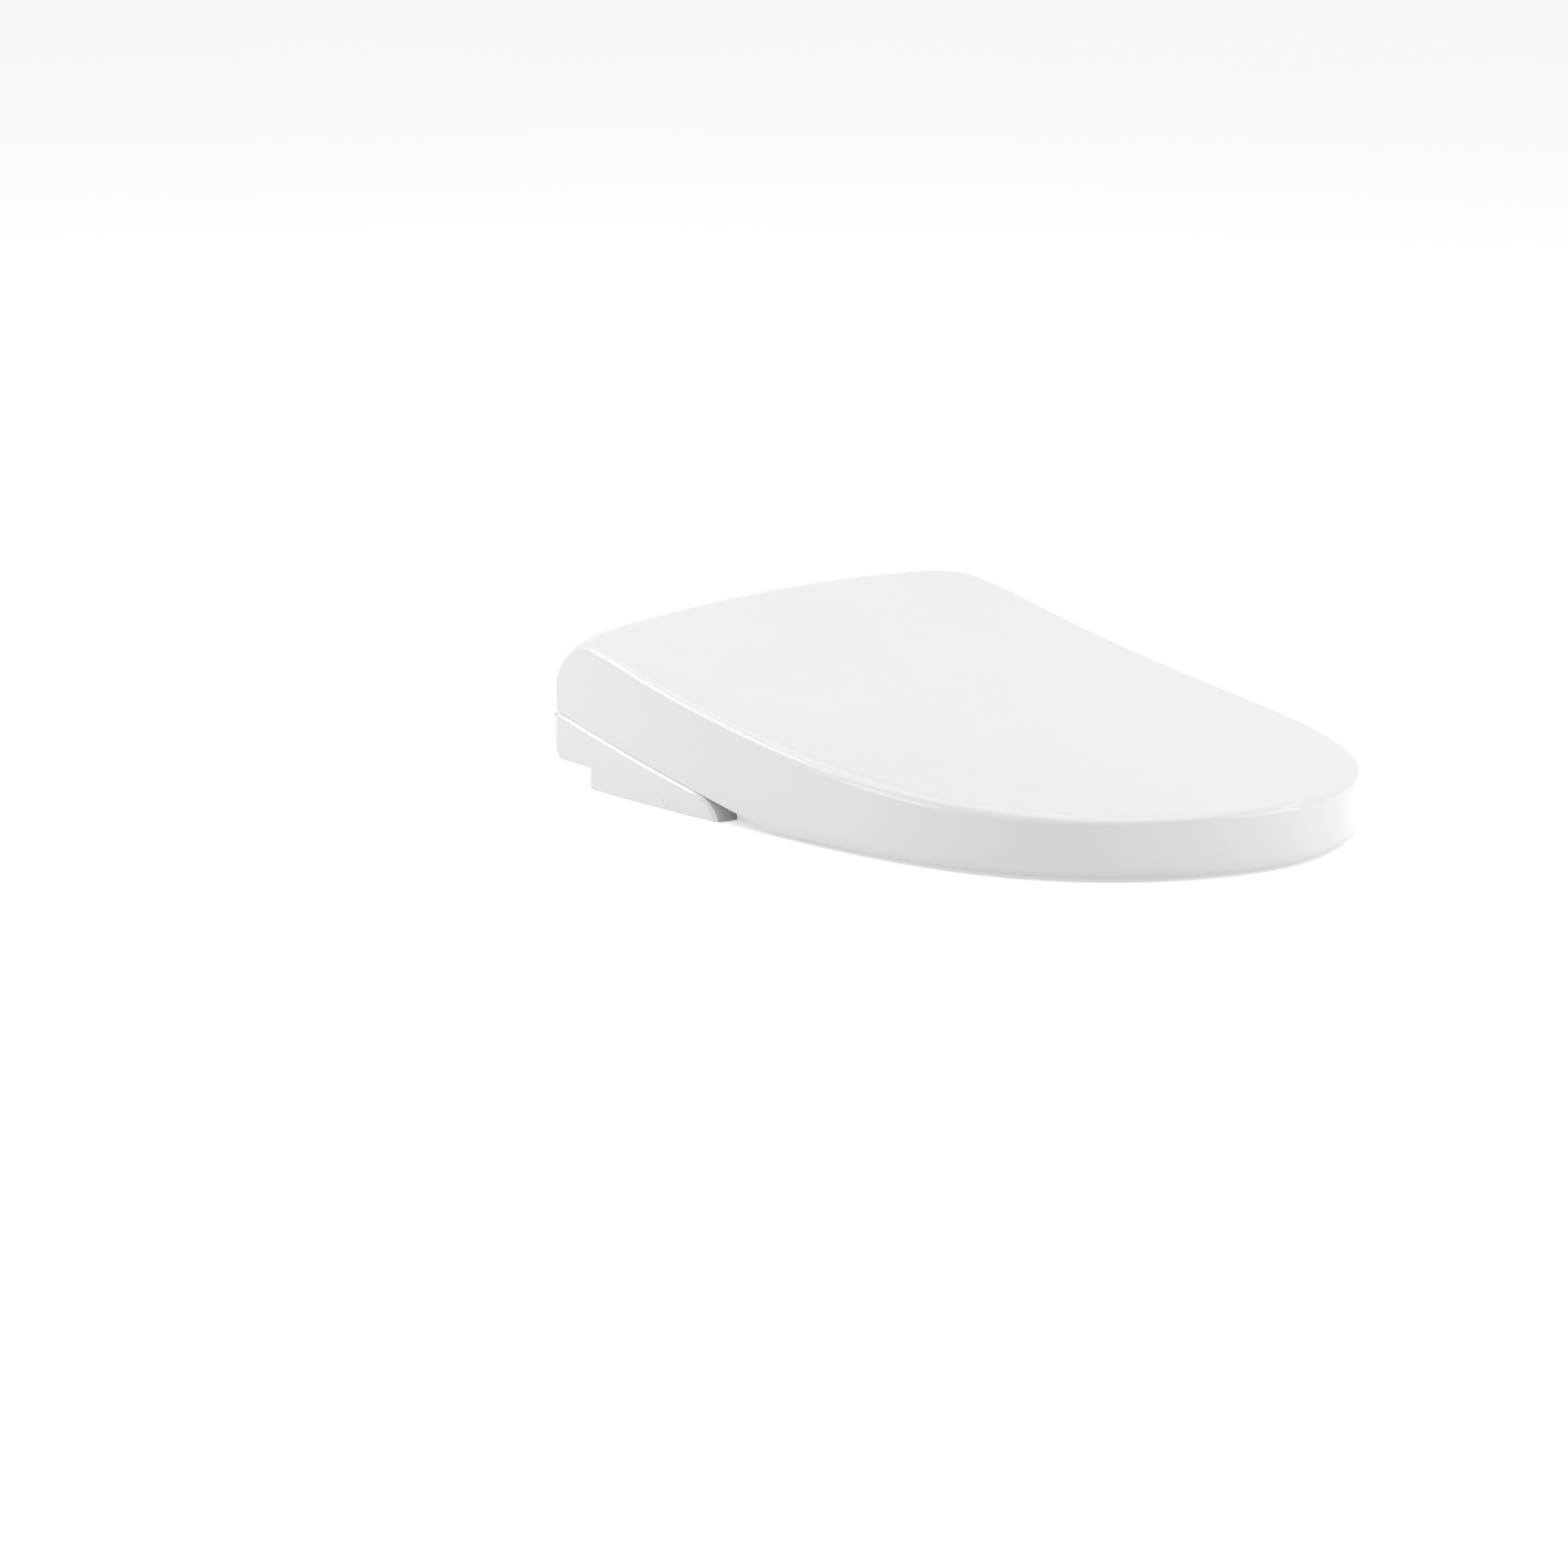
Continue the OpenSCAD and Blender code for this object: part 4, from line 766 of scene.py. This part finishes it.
def close_with_copies(tree, given, points):
    """The tree's piece copied on points, given its finish and sent out."""
    piece = add(tree, "GeometryNodeObjectInfo", {"Object": given["Piece"]})
    inputs = {"Points": points, "Instance": piece.outputs["Geometry"]}
    placed = add(tree, "GeometryNodeInstanceOnPoints", inputs)
    return close_tree(tree, placed.outputs["Instances"], given["Finish"])


def copies_tree():
    """Copies of one piece on the points of the base mesh."""
    sizes = [("Piece", "NodeSocketObject"), ("Finish", "NodeSocketMaterial")]
    tree, given = geometry_tree("copies_on_points", sizes)
    return close_with_copies(tree, given, given["Geometry"])


def row_tree():
    """Copies of one piece in a row, a step apart."""
    sizes = [
        ("Piece", "NodeSocketObject"),
        ("Count", "NodeSocketInt"),
        ("Start", "NodeSocketVector"),
        ("Step", "NodeSocketVector"),
        ("Finish", "NodeSocketMaterial"),
    ]
    tree, given = geometry_tree("row_of_copies", sizes)
    inputs = {"Count": given["Count"], "Start Location": given["Start"], "Offset": given["Step"]}
    line = add(tree, "GeometryNodeMeshLine", inputs, mode="OFFSET")
    return close_with_copies(tree, given, line.outputs["Mesh"])


def hose_tree():
    """A tube along the edges of the base mesh."""
    sizes = [("Radius", "NodeSocketFloat"), ("Finish", "NodeSocketMaterial")]
    tree, given = geometry_tree("tube_along_route", sizes)
    route = add(tree, "GeometryNodeMeshToCurve", {"Mesh": given["Geometry"]})
    smooth = add(tree, "GeometryNodeResampleCurve", {"Curve": route.outputs["Curve"], "Count": 48})
    ring = add(tree, "GeometryNodeCurvePrimitiveCircle", {"Resolution": 20, "Radius": given["Radius"]})
    inputs = {
        "Curve": smooth.outputs["Curve"],
        "Profile Curve": ring.outputs["Curve"],
        "Fill Caps": True,
    }
    tube = add(tree, "GeometryNodeCurveToMesh", inputs)
    return close_tree(tree, tube.outputs["Mesh"], given["Finish"])


def points_mesh(name, points, joined=False):
    """Points in millimetres, joined by edges in their order if asked."""
    mesh = bpy.data.meshes.new(name)
    edges = [(i, i + 1) for i in range(len(points) - 1)] if joined else []
    mesh.from_pydata(in_metres(points), edges, [])
    return mesh


# A screw in millimetres: (z, radius) up its shank and round its head, to the flat face round the socket
SCREW_SIDES = 24
SHANK = [(2.3, 1.4), (0.0, 1.5)]
HEAD = [(0.0, 3.0), (-0.5, 3.35), (-1.0, 3.2), (-1.45, 2.5), (-1.6, 1.75)]
HEAD_H, SOCKET_FLOOR_Z, SOCKET_R = 1.6, -0.45, 1.35
SCREW_SPOTS = ((82, -56), (165, -24), (122, 6))


def screw_ring(z, radius, hexagonal=False):
    """A ring of points round the screw, or a six-sided one with that radius at its corners."""
    ring = []
    for k in range(SCREW_SIDES):
        t = 2 * math.pi * k / SCREW_SIDES
        r = radius
        if hexagonal:
            r = radius * math.cos(math.pi / 6) / math.cos((t % (math.pi / 3)) - math.pi / 6)
        ring.append((r * math.cos(t), r * math.sin(t), z))
    return ring


def build_screws():
    """Pan-head screws with a hex socket, pointing up into the casing."""
    loops = [screw_ring(z, r) for z, r in SHANK + HEAD]
    loops += [screw_ring(z, SOCKET_R, True) for z in (-HEAD_H, SOCKET_FLOOR_Z)]
    mesh = bridged("screw", loops)
    crease(mesh, 30)
    screw = link("screw", mesh)
    seat_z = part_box("case_screws")[0].z * 1000 + HEAD_H
    spots = [(side * x, y, seat_z) for side in (1, -1) for x, y in SCREW_SPOTS]
    values = {"Piece": screw, "Finish": FINISH["steel"]}
    made = run_tree("case_screw_set", points_mesh("spots", spots), copies_tree(), values)
    bpy.data.objects.remove(screw)
    return settle(made, "case_screws")


# The vent fins in millimetres: the rear cover's inner face, and the fins between it and the outer one
COVER_Y = REAR_Y - 4.5
FIN_COUNT, FIN_FIRST_X, FIN_STEP = 12, -148.5, 8.0
FIN_LOW, FIN_HIGH = (-0.5, COVER_Y + 0.3, 21.5), (0.5, COVER_Y + 1.9, 36.5)


def build_louvres():
    """Fins set across the vents of the rear cover, within its thickness."""
    fin = link("fin", rounded_block("fin", FIN_LOW, FIN_HIGH, 0.2))
    values = {
        "Piece": fin,
        "Count": FIN_COUNT,
        "Start": (FIN_FIRST_X / 1000.0, 0.0, 0.0),
        "Step": (FIN_STEP / 1000.0, 0.0, 0.0),
        "Finish": FINISH["case_white"],
    }
    made = run_tree("vent_fins", points_mesh("none", []), row_tree(), values)
    bpy.data.objects.remove(fin)
    crease(made.data, 40)
    made.data.materials.clear()
    made.data.materials.append(FINISH["case_white"])
    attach(made, "unit")
    return made


# The route of the hose from the inlet to the valves, in millimetres
HOSE_R = 2.6
HOSE_ROUTE = [
    (143.4, 35.6, 24.2), (140.5, 35.6, 23.3), (138.4, 34, 21.8), (138, 31, 20.7), (138, 16, 20.7),
    (138, 13, 20.6), (135, 4, 17), (130, 1, 16.5), (122, -1, 16.4), (114.2, -1, 16.4),
]


def build_hose():
    values = {"Radius": HOSE_R / 1000.0, "Finish": FINISH["hose_grey"]}
    made = run_tree("feed_hose", points_mesh("route", HOSE_ROUTE, True), hose_tree(), values)
    crease(made.data, 50)
    return settle(made, "inlet_hose")


THREAD_R, THREAD_PITCH, THREAD_DEPTH = 10.48, 1.814, 1.0


def build_inlet():
    """The brass stub with its half-inch thread, drawn as rings one pitch apart."""
    low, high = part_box("water_inlet")
    x, z = 1000 * (low.x + high.x) / 2, 1000 * (low.z + high.z) / 2
    y0, y1 = 1000 * low.y, 1000 * high.y
    r, root = THREAD_R, THREAD_R - THREAD_DEPTH
    outline = [(y0, 2.8), (y0, 6.6), (y0 + 0.4, 7.0), (y0 + 6, 7.0), (y0 + 6, 9.6), (y0 + 6.6, r)]
    y = y0 + 8.0
    while y + THREAD_PITCH < y1 - 0.8:
        outline += [(y, r), (y + 0.25, r), (y + 0.85, root), (y + 1.05, root), (y + 1.6, r)]
        y += THREAD_PITCH
    outline += [(y1 - 0.9, r - 0.1), (y1, root), (y1, 6.3), (y1 - 0.3, 6.0)]
    outline += [(y0 + 6, 6.0), (y0 + 6, 2.8)]
    made = link("threaded_inlet", turned("threaded_inlet", outline, x, z, 64))
    crease(made.data, 32)
    return settle(made, "water_inlet")


# ---------------------------------------------------------------- the side arms

# The sizes of the arms, in millimetres, as the solids have them
SEAM_GAP = 0.5
ARM_LOW_Z = 0.4
TIP_OUTER_Y, TIP_OUTER_R = -116.7, 33.0
SCOOP_END_DEG, ARM_REAR_Z = 286, 46.0
# The chamfer along the upper edge: its width, height and swell, how far the cutter stands outside, and
# the direction out of the edge behind the scoop
RIM_W, RIM_H, RIM_SWELL = 1.4, 1.9, 0.03
SWELL_OUT, SWELL_UP = 0.8, 0.6
CUTTER_OUT = 1.5
REAR_SQUARE = (-0.1, 0.995)
TIP_STEPS, SEAM_STEPS, SCOOP_STEPS, REAR_STEPS, RIM_STEPS = 20, 24, 3, 6, 4
# The dressed arms end a little below the solids, clear of the lid at the end of its swing
ARM_TOP_Z = 47.05


def outer_x(y):
    """Half width of the lid and arms at y, with the rounded rear corner."""
    start = REAR_Y - REAR_CORNER_R
    if y <= start:
        return half_width(y)
    across = REAR_CORNER_R**2 - (min(y, REAR_Y) - start) ** 2
    return half_width(start) - REAR_CORNER_R + math.sqrt(max(0.0, across))


def arm_rim():
    """The upper edge of the arm's outer face in side view, from under its tip to its rear, each point
    with the direction that is square to the edge and points out of the arm."""
    m, turn = SEAM_SLOPE, math.atan(SEAM_SLOPE)
    scoop = LOBE_R + SEAM_GAP
    top = LID_AXIS_Z - scoop / math.cos(turn) - m * LID_AXIS_Y
    k = top + m * TIP_OUTER_Y - ARM_LOW_Z - TIP_OUTER_R / math.cos(turn)
    d = (math.sqrt(m * m * k * k - (1 + m * m) * (k * k - TIP_OUTER_R**2)) - m * k) / (1 + m * m)
    cy, cz = TIP_OUTER_Y + d, ARM_LOW_Z + k + m * d
    first = math.pi - math.asin((ARM_LOW_Z - cz) / TIP_OUTER_R)
    rim = []
    for i in range(TIP_STEPS + 1):
        a = lerp(first, math.pi / 2 + turn, i / TIP_STEPS)
        ny, nz = math.cos(a), math.sin(a)
        rim.append(((cy + TIP_OUTER_R * ny, cz + TIP_OUTER_R * nz), (ny, nz)))
    (py, pz), (ny, nz) = rim[0]
    rim.insert(0, ((py - 4 * nz, pz + 4 * ny), (ny, nz)))
    y0, y1 = rim[-1][0][0], LID_AXIS_Y + scoop * math.sin(turn)
    for i in range(1, SEAM_STEPS):
        y = lerp(y0, y1, i / SEAM_STEPS)
        rim.append(((y, top + m * y), (-math.sin(turn), math.cos(turn))))
    for i in range(SCOOP_STEPS + 1):
        a = lerp(1.5 * math.pi + turn, math.radians(SCOOP_END_DEG), i / SCOOP_STEPS)
        ny, nz = math.cos(a), math.sin(a)
        rim.append(((LID_AXIS_Y + scoop * ny, LID_AXIS_Z + scoop * nz), (-ny, -nz)))
    (py, pz), _ = rim[-1]
    for i in range(1, REAR_STEPS + 1):
        y = lerp(py, REAR_Y + 3, i / REAR_STEPS)
        along = min(1.0, (y - py) / (REAR_Y - py))
        rim.append(((y, lerp(pz, ARM_REAR_Z, along)), REAR_SQUARE))
    return rim


def rim_cutter(side):
    """What the chamfer of the arm's upper edge takes away."""
    loops = []
    for (y, z), (ny, nz) in arm_rim():
        x = outer_x(y)
        section = [(x - RIM_W, CUTTER_OUT)]
        for i in range(RIM_STEPS + 1):
            swell = RIM_SWELL * math.sin(math.pi * i / RIM_STEPS)
            out = x - RIM_W * (1 - i / RIM_STEPS) + SWELL_OUT * swell
            section.append((out, -RIM_H * i / RIM_STEPS + SWELL_UP * swell))
        section += [(x + CUTTER_OUT, -RIM_H), (x + CUTTER_OUT, CUTTER_OUT)]
        loops.append([(side * sx, y + h * ny, z + h * nz) for sx, h in section])
    return bridged("rim_cutter", loops)


def build_arm(node, side):
    """The solid with its upper edge chamfered and its rear top lowered."""
    made = cut(merged_copy(node), rim_cutter(side), "DIFFERENCE")
    for vertex in made.data.vertices:
        vertex.co.z = min(vertex.co.z, ARM_TOP_Z / 1000)
    crease(made.data, 34)
    level = made.modifiers.new("flat_faces", "WEIGHTED_NORMAL")
    level.keep_sharp = True
    return settle(plain_mesh(made), node)


# ---------------------------------------------------------------- all pieces

build_lid()
build_seat_half("seat_top", TOP_OUTSIDE, TOP_INSIDE, SEAT_UP, "seat_upper_shell")
build_seat_half("seat_bottom", LOW_OUTSIDE, LOW_INSIDE, 1.0, "seat_lower_shell")
build_screws()
build_louvres()
build_hose()
build_inlet()

# The nodes that keep their solid's shape: the radius of their edges in millimetres, and its segments
ROUNDED = {
    "lid_bumpers": (0.9, 3),
    "seat_bumpers": (0.9, 3),
    "lid_shafts": (0.4, 2),
    "seat_shafts": (0.4, 2),
    "hinge_pod_left": (0.6, 3),
    "hinge_pod_right": (0.6, 3),
    "seat_horn_left": (1.5, 3),
    "seat_horn_right": (1.5, 3),
    "upper_case": (0.6, 3),
    "lower_case": (0.4, 2),
    "front_fascia": (0.4, 2),
    "rear_cover": (0.35, 2),
    "arm_plugs": (0.3, 2),
    "receiver_window": (0.15, 2),
    "lamp_lenses": (0.3, 2),
    "power_button": (0.6, 3),
    "wash_button": (0.6, 3),
    "stop_button": (0.6, 3),
    "release_button": (0.6, 3),
    "nozzle_wand": (0.2, 2),
    "nozzle_tip": (0.15, 2),
    "nozzle_rack": (0.12, 2),
    "nozzle_pinion": (0.12, 2),
    "mounting_plate": (0.4, 2),
    "bolt_bushes": (0.3, 2),
    "base_pads": (0.5, 3),
    "dryer_flap": (0.25, 2),
    "filter_drawer": (0.3, 2),
    "cord_gland": (0.5, 3),
    "inlet_strainer": (0.12, 2),
}
for node, (width, segments) in ROUNDED.items():
    settle(soften(merged_copy(node), width, segments), node)
build_arm("arm_left", 1)
build_arm("arm_right", -1)

for name, shown in NODES.items():
    if not shown.hide_render:
        for place in shown.material_slots:
            place.material = FINISH[SLOT_OF[name]]

# ---------------------------------------------------------------- floor, light and camera


FLOOR_R, FLOOR_GLOW = 40.0, 0.55
# What the world sends to the surfaces; the camera sees it at full strength
WORLD_LEVEL = 0.42


def seen_directly(tree):
    """1 for rays from the camera, off gloss and through clear material, and 0 for all others."""
    kinds = add(tree, "ShaderNodeLightPath").outputs
    seen = kinds["Is Camera Ray"]
    for kind in ("Is Glossy Ray", "Is Transmission Ray"):
        seen = add(tree, "ShaderNodeMath", {0: seen, 1: kinds[kind]}, operation="MAXIMUM").outputs[0]
    return seen


def pale_floor():
    """A seamless white studio floor: it keeps the shadow, and shows as white to the camera and to
    reflections."""
    material = bpy.data.materials.new("studio_floor")
    material.use_nodes = True
    tree = material.node_tree
    tree.nodes.clear()
    where = add(tree, "ShaderNodeTexCoord").outputs["Object"]
    tone = shades(tree, noise(tree, where, 400.0), "#EFEFEF", "#F2F2F2")
    paper = add(tree, "ShaderNodeBsdfDiffuse", {"Color": tone})
    lift = add(tree, "ShaderNodeMath", {0: seen_directly(tree), 1: FLOOR_GLOW}, operation="MULTIPLY")
    glow = add(tree, "ShaderNodeEmission", {"Color": linear("#FFFFFF"), "Strength": lift.outputs[0]})
    both = add(tree, "ShaderNodeAddShader", {0: paper.outputs[0], 1: glow.outputs[0]})
    add(tree, "ShaderNodeOutputMaterial", {"Surface": both.outputs[0]})
    return material


disc = bmesh.new()
bmesh.ops.create_circle(disc, cap_ends=True, segments=96, radius=FLOOR_R)
floor_mesh = finished(disc, "floor")
floor_mesh.materials.append(pale_floor())
link("floor", floor_mesh)

world = bpy.data.worlds.new("studio")
bpy.context.scene.world = world
world.use_nodes = True
sky = world.node_tree
sky.nodes.clear()
span = {"From Min": 0.0, "From Max": 1.0, "To Min": WORLD_LEVEL, "To Max": 1.0}
level = add(sky, "ShaderNodeMapRange", {"Value": seen_directly(sky), **span}).outputs["Result"]
air = add(sky, "ShaderNodeBackground", {"Color": linear("#FFFFFF"), "Strength": level})
add(sky, "ShaderNodeOutputWorld", {"Surface": air.outputs[0]})


def softbox(name, where, aim, width, height, watts):
    """A soft area lamp that faces a point."""
    lamp = bpy.data.lights.new(name, "AREA")
    lamp.shape = "RECTANGLE"
    lamp.size, lamp.size_y = width, height
    lamp.energy = watts
    made = link(name, lamp)
    turn = (Vector(aim) - Vector(where)).to_track_quat("-Z", "Y")
    made.matrix_world = Matrix.Translation(where) @ turn.to_matrix().to_4x4()


MIDDLE = (0.0, -0.2, 0.05)
softbox("overhead_box", (0.0, -0.1, 2.2), MIDDLE, 1.8, 1.8, 13.0)
softbox("left_box", (-3.22, 1.14, 1.21), MIDDLE, 1.2, 1.6, 17.0)
softbox("right_box", (0.8, -1.82, 0.63), MIDDLE, 1.2, 1.4, 11.7)
softbox("ridge_box", (-0.78, 0.92, 1.72), (-0.19, -0.1, 0.1), 1.2, 1.0, 5.0)
softbox("rim_box", (-1.17, 1.2, 1.26), (-0.19, -0.02, 0.03), 0.6, 0.4, 5.6)
softbox("nose_box", (1.3, -0.65, 1.4), (0.0, -0.4, 0.05), 0.25, 0.25, 1.5)

# The camera's place, turn and tilt, as fitted to the outline of the seat
EYE = (-2.88736, -3.07267, 0.95783)
LENS, SENSOR_W = 140.48, 36.0
turn, tilt = math.radians(-43.02), math.radians(13.10)

camera = bpy.data.cameras.new("camera")
camera.sensor_fit = "HORIZONTAL"
camera.sensor_width = SENSOR_W
camera.lens = LENS
camera.clip_end = 100.0
eye = link("camera", camera)
right = Vector((math.cos(turn), math.sin(turn), 0.0))
back = Vector((math.sin(turn) * math.cos(tilt), -math.cos(turn) * math.cos(tilt), math.sin(tilt)))
up = back.cross(right)
place = Matrix((right, up, back)).transposed().to_4x4()
place.translation = Vector(EYE)
eye.matrix_world = place
bpy.context.scene.camera = eye
bpy.context.scene.view_settings.view_transform = "Standard"

bpy.context.view_layer.update()
